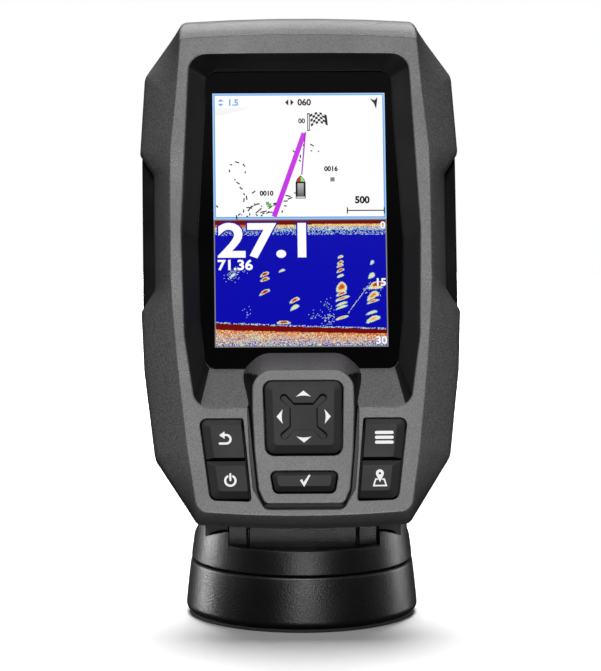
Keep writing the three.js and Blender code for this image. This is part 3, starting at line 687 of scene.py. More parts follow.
def select_key():
    outline = whole([(9.3, -74.05, 1.4), (8.22, -79.75, 1.4)])
    insets = [1.3, 1.5, 1.3, 1.25]
    piece = key_block("select_key_cap", outline, insets, KEY_BASE_N, SELECT_EDGE_N, SELECT_TOP_N)
    finish_surface(piece, 24)
    place(piece, HEAD, "select_key", KEY, ["select_key"])


PAD_CENTRE_V = -58.4
PAD_EDGE_N = 26.75
PAD_TOP_N = 27.6
# The wall of the pad's sunken cross, as (growth of its outline, depth below the pad's top).
CROSS_PROFILE = ((-0.3, 0.75), (-0.18, 0.72), (-0.02, 0.45), (0.1, 0.2), (0.22, 0.05), (0.36, 0), (0.38, -1))


def pad_cross(grow):
    """The sunken middle of the pad: an octagon with four round-ended arms."""
    half, arm_start, arm_end, arm = 3.75 + grow, 2.7 + grow * 0.4, 5.45, 0.95 + grow
    diagonal = math.pi / 4
    corner = [(arm_start, half)]
    for k in range(7):
        angle = diagonal + math.pi / 2 - math.pi * k / 6
        corner.append((arm_end + arm * math.cos(angle), arm_end + arm * math.sin(angle)))
    corner.append((half, arm_start))
    points = []
    for quarter in range(4):
        c, s = round(math.cos(quarter * math.pi / 2)), -round(math.sin(quarter * math.pi / 2))
        points.extend((x * c - y * s, x * s + y * c) for x, y in corner)
    return [(x, y + PAD_CENTRE_V, 0.5 if i % 9 in (0, 8) else 0.05) for i, (x, y) in enumerate(points)]


def pad_cap():
    outline = whole([(10.92, -47.95, 2.2), (10.38, -68.85, 2.2)])
    piece = key_block("pad_top", outline, [2.2, 2.3, 2.2, 2.2], KEY_BASE_N, PAD_EDGE_N, PAD_TOP_N, 0.3)
    rings = [ring(pad_cross(grow), PAD_TOP_N - depth, steps=3, spans=2) for grow, depth in CROSS_PROFILE]
    cut(piece, lofted("cross", rings))
    finish_surface(piece, 26)
    place(piece, HEAD, "pad_cap", KEY, ["pad_cap"])


# ---- Head: the white signs on the keys ----

GLYPH_THICKNESS = 0.12
GLYPH_SINK = 0.05


def stroke(points, width, round_ends=True):
    """The outline of a line of constant width."""
    pts = [Vector(p) for p in points]
    left, right = [], []
    for i, here in enumerate(pts):
        before = pts[i - 1] if i else here
        after = pts[i + 1] if i + 1 < len(pts) else here
        d1 = (here - before).normalized() if (here - before).length else (after - here).normalized()
        d2 = (after - here).normalized() if (after - here).length else d1
        tangent = (d1 + d2).normalized() if (d1 + d2).length > 1e-6 else d1
        normal = Vector((-tangent.y, tangent.x))
        scale = 1 / max(0.5, normal.dot(Vector((-d1.y, d1.x))))
        left.append(here + normal * width / 2 * scale)
        right.append(here - normal * width / 2 * scale)
    loop = list(left)
    if round_ends:
        loop.extend(half_circle(pts[-1], pts[-1] - pts[-2], width / 2))
    loop.extend(reversed(right))
    if round_ends:
        loop.extend(half_circle(pts[0], pts[0] - pts[1], width / 2))
    return loop


def half_circle(centre, direction, radius):
    """The round end of a line, as five points between its corners."""
    start = math.atan2(direction.y, direction.x) + math.pi / 2
    angles = [start - math.pi * k / 6 for k in range(1, 6)]
    return [centre + radius * Vector((math.cos(a), math.sin(a))) for a in angles]


def arc(cx, cy, radius, a0, a1, parts):
    angles = [math.radians(a0 + (a1 - a0) * k / parts) for k in range(parts + 1)]
    return [(cx + radius * math.cos(a), cy + radius * math.sin(a)) for a in angles]


class Drawing:
    """Flat shapes collected into one mesh, each raised to its own level."""

    def __init__(self):
        self.points = []
        self.faces = []

    def loop(self, outline, low, high):
        start = len(self.points)
        count = len(outline)
        for n in (low, high):
            self.points.extend((p[0], p[1], n) for p in outline)
        self.faces.append(tuple(start + count + i for i in range(count)))
        self.faces.append(tuple(start + i for i in reversed(range(count))))
        for i in range(count):
            j = (i + 1) % count
            self.faces.append((start + i, start + j, start + count + j, start + count + i))

    def band(self, outer, inner, low, high):
        start = len(self.points)
        count = len(outer)
        for loop, n in ((outer, low), (outer, high), (inner, high), (inner, low)):
            self.points.extend((p[0], p[1], n) for p in loop)
        for level in range(4):
            a, b = level * count, ((level + 1) % 4) * count
            for i in range(count):
                j = (i + 1) % count
                self.faces.append((start + a + i, start + a + j, start + b + j, start + b + i))

    def made(self, name):
        return from_faces(name, self.points, self.faces)


def moved(points, dx, dy):
    return [(x + dx, y + dy) for x, y in points]


def glyph(name, body, top_n, draw, cx, cy):
    drawing = Drawing()
    draw(drawing, cx, cy, top_n - GLYPH_SINK, top_n + GLYPH_THICKNESS)
    piece = drawing.made(name)
    finish_surface(piece, 40)
    place(piece, HEAD, body, WHITE_PRINT, weighted=False)


def back_sign(d, cx, cy, low, high):
    path = [(-1.45, -1.45)] + arc(0.35, -0.22, 1.23, -90, 90, 14) + [(-0.1, 1.01)]
    d.loop(stroke(moved(path, cx, cy), 0.62), low, high)
    d.loop(moved([(-1.6, 0.95), (-0.1, 2.05), (-0.1, -0.1)], cx, cy), low, high)


def power_sign(d, cx, cy, low, high):
    d.loop(stroke(moved(arc(0, -0.35, 1.45, 122, 418, 26), cx, cy), 0.6), low, high)
    d.loop(stroke(moved([(0, 1.55), (0, -0.2)], cx, cy), 0.58), low, high)


def menu_sign(d, cx, cy, low, high):
    for dy in (1.4, 0, -1.4):
        d.loop(stroke(moved([(-2.2, dy), (2.2, dy)], cx, cy), 0.9), low, high)


def waypoint_sign(d, cx, cy, low, high):
    pin = [(0, -1.25)] + arc(0, 1.35, 1.12, -30, 210, 20)
    outer = moved(pin, cx, cy)
    hole = moved(arc(0, 1.35, 0.36, 0, 345, 23), cx, cy)
    lowest = min(range(len(hole)), key=lambda k: abs(hole[k][0] - cx) + (hole[k][1] - cy))
    inner = hole[lowest:] + hole[:lowest]
    d.band(resampled(outer, 48), resampled(inner, 48), low, high)
    base = [(-0.75, -0.35), (-1.2, -0.35), (-1.75, -2.2), (1.75, -2.2), (1.2, -0.35), (0.75, -0.35)]
    d.loop(stroke(moved(base, cx, cy), 0.42), low, high)


def resampled(loop, count):
    """As many points as wanted, evenly spaced round a closed loop."""
    pts = [Vector(p) for p in loop]
    lengths = [(pts[(i + 1) % len(pts)] - p).length for i, p in enumerate(pts)]
    total = sum(lengths)
    result = []
    for k in range(count):
        target = total * k / count
        i = 0
        while target > lengths[i]:
            target -= lengths[i]
            i += 1
        result.append(tuple(pts[i].lerp(pts[(i + 1) % len(pts)], target / lengths[i])))
    return result


def tick_sign(d, cx, cy, low, high):
    outline = [(-1.45, 0.15), (-0.85, 0.5), (-0.45, -0.45), (1.05, 1.75), (1.5, 1.6), (-0.3, -1.75)]
    d.loop(moved(outline, cx, cy), low, high)


def arrow_sign(turn):
    def draw(d, cx, cy, low, high):
        base = [(x, -0.75 + 0.32 * (1 - (x / 2.1) ** 2)) for x in (2.1, 1.4, 0.7, 0, -0.7, -1.4, -2.1)]
        points = [(0, 1.0)] + base
        c, s = math.cos(math.radians(turn)), math.sin(math.radians(turn))
        d.loop([(x * c - y * s + cx, x * s + y * c + cy) for x, y in points], low, high)
    return draw


def signs():
    glyph("back_sign", "back_key", KEY_TOP_N, back_sign, -22.1, -64.1)
    glyph("power_sign", "power_key", KEY_TOP_N, power_sign, -20.7, -75.9)
    glyph("menu_sign", "menu_key", KEY_TOP_N, menu_sign, 22.6, -64.0)
    glyph("waypoint_sign", "waypoint_key", KEY_TOP_N, waypoint_sign, 21.2, -75.7)
    glyph("select_sign", "select_key", SELECT_TOP_N, tick_sign, 0.2, -76.8)
    arrows = (("up", 0, 0, 6.5), ("left", 90, -6.6, 0), ("down", 180, 0, -6.5), ("right", 270, 6.6, 0))
    for name, turn, dx, dy in arrows:
        glyph(f"{name}_sign", "pad_cap", PAD_TOP_N, arrow_sign(turn), dx, PAD_CENTRE_V + dy)


# ---- Head: cover glass and picture ----

def cover_glass():
    outer = whole([(x + 1.4, v + (1.4 if i == 0 else -1.4 if i == 3 else 0), r)
                   for i, (x, v, r) in enumerate(WINDOW_EDGE)])
    block = lofted("screen_glass", [ring(outer, GLASS_BACK_N), ring(outer, GLASS_N - 0.15),
                                    ring(outer, GLASS_N, -0.15)])
    half_w, half_h = DISPLAY_WIDTH / 2, DISPLAY_HEIGHT / 2
    low_v, high_v = PICTURE_LIFT - half_h, PICTURE_LIFT + half_h
    cut(block, box_mesh("display_hole", -half_w, half_w, low_v, high_v, GLASS_N - 0.12, GLASS_N + 1))
    finish_surface(block, 30)
    place(block, HEAD, "head", GLASS, ["cover_glass"])


# ---- The picture on the screen: flat shapes in display dots, counted from its top left corner ----

DOTS_ACROSS = 320
DOTS_DOWN = 480
SPLIT_DOT = 239          # the chart is above this row and the sonar below it
PICTURE_LIFT = 1.1       # the picture stands this much above the middle of the window
PICTURE_N = GLASS_N - 0.1
LAYER = 0.008
CAPITAL_SHARE = 0.72     # a capital's height as a share of the typeface's size

WHITE = (1.0, 1.0, 1.0)
BLACK = (0.003, 0.003, 0.003)
SKY = (0.16, 0.38, 0.84)
SKY_LIGHT = (0.36, 0.62, 0.92)
MAGENTA = (0.58, 0.03, 0.78)
DEEP_BLUE = (0.0, 0.0, 0.42)
MID_BLUE = (0.02, 0.06, 0.62)
DARK_RED = (0.16, 0.0, 0.0)
RED = (0.55, 0.03, 0.01)
ORANGE = (0.85, 0.3, 0.08)
YELLOW = (0.85, 0.78, 0.3)
CYAN = (0.35, 0.62, 0.75)
GREY = (0.22, 0.22, 0.24)
PALE = (0.9, 0.9, 0.9)
GREEN = (0.16, 0.45, 0.08)
LIGHT_GREEN = (0.3, 0.75, 0.25)
PALE_GREEN = (0.75, 0.8, 0.45)


def dot(x, y, layer=0):
    return ((x / DOTS_ACROSS - 0.5) * DISPLAY_WIDTH, (0.5 - y / DOTS_DOWN) * DISPLAY_HEIGHT + PICTURE_LIFT,
            PICTURE_N + layer * LAYER)


class Picture:
    """Flat faces, each with one colour, gathered into one mesh."""

    def __init__(self):
        self.points = []
        self.faces = []
        self.colours = []

    def shape(self, outline, colour, layer):
        start = len(self.points)
        self.points.extend(dot(p[0], p[1], layer) for p in outline)
        self.faces.append(tuple(range(start, start + len(outline))))
        self.colours.append(colour)

    def block(self, x0, y0, x1, y1, colour, layer):
        self.shape([(x0, y0), (x1, y0), (x1, y1), (x0, y1)], colour, layer)

    def line(self, points, width, colour, layer):
        for a, b in zip(points, points[1:]):
            self.shape(stroke([a, b], width, round_ends=False), colour, layer)

    def number(self, text, x, y, height, colour, layer, bold, align="LEFT", wide=1.0):
        """A number whose capitals are `height` dots tall, with its foot at row y."""
        curve = bpy.data.curves.new("number", "FONT")
        curve.body = text
        curve.size = height / CAPITAL_SHARE
        curve.offset = bold * height
        curve.align_x = align
        curve.resolution_u = 4
        carrier = new_object("number", curve)
        bpy.context.view_layer.update()
        graph = bpy.context.evaluated_depsgraph_get()
        mesh = bpy.data.meshes.new_from_object(carrier.evaluated_get(graph))
        start = len(self.points)
        self.points.extend(dot(x + wide * v.co.x, y - v.co.y, layer) for v in mesh.vertices)
        for face in mesh.polygons:
            self.faces.append(tuple(start + i for i in face.vertices))
            self.colours.append(colour)
        bpy.data.objects.remove(carrier)
        bpy.data.curves.remove(curve)
        bpy.data.meshes.remove(mesh)

    def made(self, name):
        mesh = bpy.data.meshes.new(name)
        mesh.from_pydata(self.points, [], self.faces)
        paint = mesh.color_attributes.new("paint", "FLOAT_COLOR", "CORNER")
        values = np.ones((len(mesh.loops), 4), np.float32)
        counts = [len(f) for f in self.faces]
        values[:, :3] = np.repeat(np.array(self.colours, np.float32), counts, axis=0)
        paint.data.foreach_set("color", values.ravel())
        for face in mesh.polygons:
            if face.normal.z < 0:
                face.flip()
        return new_object(name, mesh)


TRACK_WIDTH = 2.3
# Sailed tracks: how far their dashes stray, the dash, the gap and the places they pass.
TRACKS = (
    (1.5, 6, 4.5, [(62, 200), (52, 182), (40, 168), (30, 150), (30, 136), (42, 132), (58, 135), (62, 148),
                   (50, 160)]),
    (1.5, 6, 4.5, [(44, 168), (52, 178), (58, 200), (60, 218), (74, 212), (100, 214), (130, 204),
                   (150, 196)]),
    (3, 6, 4.5, [(48, 228), (66, 222), (88, 224), (104, 218), (122, 206), (146, 190), (156, 196)]),
    (2.5, 4, 3, [(40, 233), (60, 231), (92, 231), (112, 222)]),
    (3, 4, 3, [(54, 222), (76, 210), (90, 208)]),
    (3, 5, 3, [(124, 226), (132, 214), (144, 212)]),
    (1, 6, 8, [(5, 212), (26, 228)]),
    (2, 4, 6, [(150, 110), (160, 130), (165, 120), (168, 90)]),
    (1, 8, 8, [(180, 97), (190, 104)]),
    (1.5, 6, 4, [(180, 110), (192, 109), (206, 112)]),
    (1, 6, 4, [(72, 190), (82, 186)]),
)


def dashed(picture, points, draws, jitter, dash, gap):
    """A hand-sailed track: short dashes that wander about a path."""
    for a, b in zip(points, points[1:]):
        length = math.hypot(b[0] - a[0], b[1] - a[1])
        steps = max(1, int(length / (dash + gap)))
        for k in range(steps):
            t0 = k / steps
            t1 = t0 + dash / length
            shift = draws.normal(0, jitter, 4)
            ends = [(a[0] + (b[0] - a[0]) * t + shift[i], a[1] + (b[1] - a[1]) * t + shift[i + 1])
                    for i, t in ((0, t0), (2, min(t1, 1.0)))]
            picture.line(ends, TRACK_WIDTH, BLACK, 3)


def chart(picture):
    """Upper half: a white chart with a course line, tracks, a finish flag and the boat."""
    picture.block(0, 0, DOTS_ACROSS, SPLIT_DOT, SKY_LIGHT, 1)
    picture.block(2.2, 2.2, DOTS_ACROSS - 2.2, SPLIT_DOT - 2.4, SKY, 2)
    picture.block(4.4, 4.4, DOTS_ACROSS - 4.4, SPLIT_DOT - 4.8, WHITE, 2.5)
    picture.shape([(5, 28), (68, 27), (52, 33), (5, 44)], PALE, 2.7)
    for side in (-1, 1):
        picture.shape([(9, 17.5 + side * 2), (21, 17.5 + side * 2), (15, 17.5 + side * 7)], SKY, 3)
        picture.shape([(143 + side * 2, 11), (143 + side * 2, 24), (143 + side * 8, 17.5)], BLACK, 3)
    picture.number("1.5", 28, 23, 12, SKY, 3, 0.05)
    picture.number("060", 158, 23, 12, BLACK, 3, 0.05)
    picture.shape([(292, 10), (301, 14), (307, 8), (304, 31), (300, 20)], BLACK, 3)
    picture.line([(169.5, 76), (112, SPLIT_DOT - 5)], 9.5, MAGENTA, 3.2)
    picture.line([(172.5, 74), (164.5, 155)], 1.8, MAGENTA, 3.3)
    picture.line([(171.2, 74), (163.5, 155)], 0.9, BLACK, 3.4)
    flag(picture)
    boat(picture)
    picture.number("0016", 206, 148, 9, BLACK, 3, 0.06)
    picture.block(217, 160, 225, 168, GREY, 3)
    picture.number("0010", 86, 194, 9, BLACK, 3, 0.06)
    picture.number("00", 159, 57, 9, BLACK, 3, 0.05)
    picture.number("500", 262, 209, 13, BLACK, 3, 0.06)
    picture.line([(247, 223), (317, 223)], 2, BLACK, 3)
    for x in (247.8, 316.2):
        picture.line([(x, 217), (x, 229)], 2, BLACK, 3)
    picture.block(97, 206, 103, 212, GREEN, 3.6)
    picture.block(101, 209, 107, 216, GREEN, 3.7)
    draws = np.random.default_rng(11)
    for jitter, dash, gap, places in TRACKS:
        dashed(picture, places, draws, jitter, dash, gap)


def flag(picture):
    """A chequered flag that waves from a pole."""
    picture.block(175.5, 38, 180.5, 72, BLACK, 3)
    picture.block(177, 40, 179, 70, PALE, 3.2)
    columns, rows = 7, 5

    def spot(i, j):
        wave = -6 * math.sin(i / columns * 3.0 + 0.2) + 2.0
        return 180.5 + i * 4.5 + 0.4 * j, 40 + wave + j * (4.6 - 0.1 * i)

    for i in range(columns):
        for j in range(rows):
            cell = [spot(i, j), spot(i + 1, j), spot(i + 1, j + 1), spot(i, j + 1)]
            picture.shape(cell, BLACK if (i + j) % 2 == 0 or i == columns - 1 else PALE, 3.2)


def boat(picture):
    hull = [(152.5, 200), (152.5, 170), (155, 163), (161.8, 156), (168.5, 163), (171, 170), (171, 200)]
    picture.shape(hull, BLACK, 3.6)
    picture.shape([(154, 168), (157, 162), (161.4, 158), (161.4, 168)], RED, 3.8)
    picture.shape([(162, 168), (162, 158), (166.5, 162), (169.5, 168)], LIGHT_GREEN, 3.8)
    for k in range(6):
        level = 0.45 - 0.06 * k
        picture.block(156, 171 + 4 * k, 167.5, 175 + 4 * k, (level,) * 3, 3.8)
    picture.block(154, 196.5, 169.5, 198.5, PALE, 3.9)


GRID_ACROSS = 264
GRID_DOWN = 196
LURE_SPECKS = 60
# Clouds of single specks: centre across and down, spread, how many.
SPECK_CLOUDS = ((0.66, 0.79, 0.025, 60), (0.57, 0.76, 0.02, 16), (0.66, 0.68, 0.03, 20),
                (0.11, 0.43, 0.03, 60), (0.92, 0.56, 0.03, 40), (0.18, 0.74, 0.02, 10))
# Fish and bait echoes: centre across and down, half width, half height, slant, strength.
ECHOES = [
    (0.286, 0.425, 0.028, 0.016, 0.9, 1.0), (0.288, 0.466, 0.029, 0.016, 0.8, 1.0),
    (0.286, 0.567, 0.034, 0.017, 1.2, 1.0), (0.388, 0.398, 0.02, 0.011, 0.8, 0.7),
    (0.46, 0.632, 0.031, 0.018, 1.0, 0.95), (0.46, 0.69, 0.029, 0.02, 0.9, 0.62),
    (0.394, 0.81, 0.045, 0.014, 0.0, 1.0), (0.732, 0.29, 0.018, 0.012, 0.6, 0.8),
    (0.73, 0.335, 0.02, 0.014, 0.7, 0.95), (0.728, 0.36, 0.022, 0.013, 0.8, 0.85),
    (0.73, 0.398, 0.024, 0.014, 0.9, 1.0), (0.73, 0.442, 0.024, 0.012, 0.9, 0.7),
    (0.735, 0.53, 0.034, 0.042, 0.2, 0.92), (0.735, 0.582, 0.034, 0.015, 1.1, 0.95),
    (0.74, 0.62, 0.045, 0.014, 1.4, 0.85), (0.735, 0.664, 0.038, 0.012, 1.5, 0.62),
    (0.735, 0.69, 0.038, 0.012, 1.5, 0.6), (0.735, 0.775, 0.042, 0.012, 1.4, 0.8),
    (0.916, 0.335, 0.014, 0.02, 0.5, 0.5), (0.912, 0.44, 0.022, 0.024, 0.5, 0.62),
    (0.945, 0.51, 0.05, 0.024, 0.4, 1.05), (0.93, 0.535, 0.05, 0.014, 0.2, 0.7),
    (0.918, 0.598, 0.036, 0.03, 0.9, 0.85), (0.918, 0.645, 0.038, 0.013, 1.2, 0.9),
    (0.91, 0.735, 0.038, 0.013, 1.2, 0.6), (0.918, 0.785, 0.045, 0.024, 0.9, 0.78),
    (0.1, 0.435, 0.02, 0.016, 1.0, 0.5),
]


# Heights and widths in the echo picture are shares of its height and width.
def steady_layers(grain, xs, ys):
    """Echo strength of the surface, the specks under it, the bed and the ragged ground below."""
    strength = np.zeros((GRID_DOWN, GRID_ACROSS))
    surface = 0.028 + 0.006 * (1 - xs)
    strength[ys < surface] = 1.0
    fringe = (ys >= surface) & (ys < surface + 0.02)
    strength[fringe] = np.where(xs[None, :] * np.ones_like(ys) < 0.35, 0.85, 0.55 + 0.3 * grain)[fringe]
    speckle = (ys >= surface + 0.02) & (ys < surface + 0.05)
    strength[speckle] = (0.62 * grain)[speckle]
    sparse = (ys >= surface + 0.05) & (ys < surface + 0.085)
    strength[sparse] = np.where(grain > 0.72, 0.35, 0.0)[sparse]
    bed = 0.815 + 0.055 * xs ** 0.8
    band = (ys >= bed) & (ys < bed + 0.05 - 0.017 * xs)
    strength[band] = 1.0
    under = ys >= bed + 0.05 - 0.017 * xs
    depth = np.clip((ys - bed - 0.04) / 0.14, 0, 1)
    ragged = np.clip(1.0 - depth * (0.75 + 0.5 * xs[None, :]) + (grain - 0.5) * 1.05, 0, 0.86)
    strength[under] = ragged[under]
    fuzz = (ys >= bed - 0.012) & (ys < bed)
    strength[fuzz] = np.where(grain > 0.55, 0.4, 0.0)[fuzz]
    return strength


def with_echo(strength, grain, xs, ys, echo):
    """The strength with one arched, ragged echo over it."""
    cx, cy, half_w, half_h, slant, peak = echo
    px = (xs[None, :] - cx) / half_w
    middle = cy - slant * px * half_h + 0.5 * half_h * px ** 2
    py = (ys - middle) / half_h
    near = np.clip(1 - px ** 2 - py ** 2, 0, 1)
    ragged_edge = near + (grain - 0.5) * 0.35 * (near > 0)
    value = np.clip(ragged_edge, 0, 1) ** 0.6 * peak
    return np.maximum(strength, value * (near > 0))


def add_rising_line(strength):
    """A lure's trace: a broken line of specks that rises to the right."""
    for k in range(LURE_SPECKS):
        t = k / (LURE_SPECKS - 1)
        cx, cy = 0.775 + 0.115 * t, 0.74 - 0.21 * t
        i, j = int(cy * GRID_DOWN), int(cx * GRID_ACROSS)
        strength[i, j] = max(strength[i, j], 0.5 * (rng.random() > 0.25))


def add_clouds(strength):
    for cx, cy, spread, count in SPECK_CLOUDS:
        for _ in range(count):
            i = int((cy + rng.normal(0, spread)) * GRID_DOWN)
            j = int((cx + rng.normal(0, spread * 0.9)) * GRID_ACROSS)
            if 0 <= i < GRID_DOWN and 0 <= j < GRID_ACROSS:
                strength[i, j] = max(strength[i, j], 0.3 + 0.25 * rng.random())


def sonar_colours():
    """Rows of echo strength, painted from deep blue through pale blue, yellow and red."""
    grain = rng.random((GRID_DOWN, GRID_ACROSS))
    xs = np.arange(GRID_ACROSS) / GRID_ACROSS
    ys = np.arange(GRID_DOWN)[:, None] / GRID_DOWN * np.ones((1, GRID_ACROSS))
    strength = steady_layers(grain, xs, ys)
    for echo in ECHOES:
        strength = with_echo(strength, grain, xs, ys, echo)
    add_rising_line(strength)
    add_clouds(strength)
    stops = [0.0, 0.16, 0.3, 0.48, 0.64, 0.78, 0.88, 1.0]
    colours = np.array([DEEP_BLUE, MID_BLUE, CYAN, PALE_GREEN, YELLOW, ORANGE, RED, DARK_RED])
    return np.stack([np.interp(strength, stops, colours[:, c]) for c in range(3)], axis=-1)


def sonar(picture):
    """Lower half: the echo picture, with the depth and water temperature over it."""
    picture.block(0, SPLIT_DOT, DOTS_ACROSS, DOTS_DOWN, GREY, 1)
    left, right, top, foot = 2, DOTS_ACROSS - 2, SPLIT_DOT + 2, DOTS_DOWN - 2.5
    colours = sonar_colours()
    start = len(picture.points)
    columns = [left + (right - left) * i / GRID_ACROSS for i in range(GRID_ACROSS + 1)]
    for j in range(GRID_DOWN + 1):
        y = top + (foot - top) * j / GRID_DOWN
        picture.points.extend(dot(x, y, 2) for x in columns)
    row = GRID_ACROSS + 1
    for j in range(GRID_DOWN):
        for i in range(GRID_ACROSS):
            a = start + j * row + i
            picture.faces.append((a + row, a + row + 1, a + 1, a))
            picture.colours.append(tuple(colours[j, i]))
    for text, x, y, height, bold, align, wide in (
            ("27.1", 6, 309, 64, 0.035, "LEFT", 1.2), ("71.36", 6, 334, 19, 0.04, "LEFT", 1.12),
            ("0", 318, 257, 13, 0.04, "RIGHT", 1.1), ("15", 318, 365, 14, 0.04, "RIGHT", 1.1),
            ("30", 318, 474, 14, 0.04, "RIGHT", 1.1)):
        picture.number(text, x, y, height, DEEP_BLUE, 3, bold + 0.035, align, wide)
        picture.number(text, x, y, height, WHITE, 4, bold, align, wide)


def screen_picture():
    picture = Picture()
    chart(picture)
    sonar(picture)
    piece = picture.made("screen_picture")
    material, tree, shader = principled("screen_picture")
    paint = node(tree, "ShaderNodeVertexColor", layer_name="paint")
    cells = noise(tree, 3000.0, 1.0)
    dim = node(tree, "ShaderNodeMix", data_type="RGBA", blend_type="MULTIPLY")
    dim.inputs["Factor"].default_value = 0.06
    link(tree, paint.outputs["Color"], dim.inputs[6])
    link(tree, ramp(tree, cells, (0.6, 0.6, 0.6), (1, 1, 1)), dim.inputs[7])
    link(tree, dim.outputs[2], shader.inputs["Emission Color"])
    set_inputs(shader, {"Emission Strength": 1.0, "Base Color": (0.005, 0.005, 0.006, 1),
                        "Roughness": 0.08, "Specular IOR Level": 0.02})
    place(piece, HEAD, "head", material, weighted=False)


# ---- Solids that turn round an axis, and copies of CAD nodes with softened edges ----

ROUND_SEGMENTS = 144


def turned(name, profile, segments=ROUND_SEGMENTS, along="Z", centre=(0, 0, 0)):
    """A profile of (radius, distance along the axis) turned round the Z or X axis."""
    rings = []
    for radius, along_axis in profile:
        loop = []
        for k in range(segments):
            angle = 2 * math.pi * k / segments
            a, b = radius * math.cos(angle), radius * math.sin(angle)
            point = (a, b, along_axis) if along == "Z" else (along_axis, a, b)
            loop.append(tuple(p + c for p, c in zip(point, centre)))
        rings.append(loop)
    return lofted(name, rings)


def disc_profile(radius, low, high, fillet):
    """A short cylinder with rounded edges."""
    profile = [(0.05, low)]
    for angle in ARC:
        profile.append((radius - fillet * (1 - math.sin(angle)), low + fillet * (1 - math.cos(angle))))
    for angle in reversed(ARC):
        profile.append((radius - fillet * (1 - math.sin(angle)), high - fillet * (1 - math.cos(angle))))
    profile.append((0.05, high))
    return profile


def refined(name, node_name, body, slot_name, bevel):
    """A copy of a CAD node with its edges rounded, which stands for that node."""
    piece = new_object(name, frame["nodes"][node_name].data.copy())
    piece.data.transform(Matrix.Scale(1 / MM, 4))
    finish_surface(piece, 30, bevel, 34)
    place(piece, WORLD, body, SLOT_MATERIALS[slot_name], [node_name])


def tilted_box(name, x0, x1, u0, u1, n0, n1):
    """A box in the head's directions, measured from the tilt pin, in the frame's millimetres."""
    piece = box_mesh(name, x0, x1, u0, u1, n0, n1)
    piece.data.transform(PIN_AXES)
    return piece


PIN_AXES = Matrix((ACROSS, UP, OUT)).transposed().to_4x4()
PIN_AXES.translation = TILT_PIN / MM


# ---- Head: rear housing ----

REAR_N = -18.5
HOUSING_STEP_V = -64.6
HOUSING_RIM = [(32.4, 60.0, 2), (43.5, 43.7, 5), (44.5, 20, 8), (44.5, -25, 8), (44.2, -42, 4),
               (41.4, -67, 4), (30.0, -85.2, 3)]
HOUSING_HULL = (
    (REAR_N, [(24, 48, 3), (31, 36, 5), (32, 18, 8), (32, -25, 8), (30.5, -46, 4), (27, -59, 3)]),
    (-8, [(28, 54, 3), (37, 40, 5), (38, 18, 8), (38, -25, 8), (36, -50, 4), (33, HOUSING_STEP_V, 3)]),
    (11, [(31, 57.5, 3), (41.5, 42, 5), (42.3, 18, 8), (42.3, -25, 8), (39.5, -50, 4),
          (36, HOUSING_STEP_V, 3)]),
)
HOLLOW = (
    (-16.3, [(22.2, 46, 3), (29, 35, 4), (30, 18, 8), (30, -24, 8), (28.5, -45, 4), (25, -57, 3)]),
    (-7, [(25.5, 51, 3), (34.5, 38, 4), (35.5, 18, 8), (35.5, -24, 8), (33.6, -49, 4), (30.6, -62.2, 3)]),
    (SEAM_N + 0.01, [(27, 52, 3), (36, 39.5, 4), (36, 18, 8), (36, -24, 8), (34.6, -48, 4),
                     (33, -62.2, 3)]),
)
SEAM_GAP = 0.3
SCREW_PLACES = [(41, 33), (-41, 33), (40, -50), (-40, -50)]
SOCKET_V = -18
RAIL_OUTER_X = 16.6
RAIL_SPAN_V = (-56.5, -38.5)
RAIL_BACK_N = -24.2
VENT_PLACE = (22, -45)


def post(name, x, v, radius, low, high):
    return turned(name, [(radius, low), (radius, high)], 48, centre=(x, v, 0))


def on_side(side, near, far):
    """The two ends of a stretch across, on the right side (1) or its mirror image on the left (-1)."""
    return sorted((side * near, side * far))


def housing_hull():
    (n0, rear), (n1, middle), (n2, front) = HOUSING_HULL
    rear, middle, front = whole(rear), whole(middle), whole(front)
    rings = [ring(rear, n0, -1.6), ring(rear, n0 + 0.15, -0.8), ring(rear, n0 + 0.7, -0.15)]
    for first, second, low, high, bulge in ((rear, middle, n0, n1, 0.9), (middle, front, n1, n2, 0.5)):
        for k in range(1, 9):
            share = k / 8
            grow = bulge * share * (1 - share) * 4
            rings.append(ring(blended(first, second, share), low + (high - low) * share, grow))
    return lofted("housing_shell", rings)


def housing_rim():
    """The flange behind the bezel, from (level, growth) pairs."""
    rim = whole(HOUSING_RIM)
    seam = SEAM_N - SEAM_GAP
    levels = ((10.7, -0.5), (10.85, -0.15), (11.2, 0), (seam - 0.35, 0), (seam, -0.3))
    return lofted("rim", [ring(rim, n, grow, crown=True) for n, grow in levels])


def add_rails(hull):
    """Two rails with inward lips, which slide down over the cradle."""
    for side in (-1, 1):
        join(hull,
             box_mesh("rail", *on_side(side, 14.4, RAIL_OUTER_X), *RAIL_SPAN_V, RAIL_BACK_N, REAR_N + 1),
             box_mesh("lip", *on_side(side, 11.4, RAIL_OUTER_X), *RAIL_SPAN_V, RAIL_BACK_N, -22.4))


def rear_housing():
    hull = housing_hull()
    join(hull, housing_rim())
    add_rails(hull)
    cut(hull, lofted("hollow", [ring(whole(half), n) for n, half in HOLLOW]))
    cut(hull, post("socket_hole", 0, SOCKET_V, 7.8, REAR_N - 2, -15),
        post("vent_hole", *VENT_PLACE, 2.3, REAR_N - 2, -15))
    for x, v in SCREW_PLACES:
        cut(hull, post("well", x, v, 2.1, REAR_N - 2, 10.5), post("screw_hole", x, v, 1.3, 10, SEAM_N))
    finish_surface(hull, 30, 0.3, 38)
    place(hull, HEAD, "head", HOUSING, ["rear_housing"])
    # The housing's forward-facing faces take the darker, duller finish as painted shade.
    refinish(hull, HEAD, DULL_PAINTED_SHADE, lambda middle, normal: normal.z > 0.3 and middle.z > 10)


def rear_fittings():
    refined("socket_shell", "connector_shell", "head", "housing_plastic", 0.3)
    refined("socket_insert", "connector_insert", "head", "contact_brass", 0.08)
    refined("vent_button", "vent_plug", "head", "seal_rubber", 0.25)


# ---- Base, swivel and cradle ----

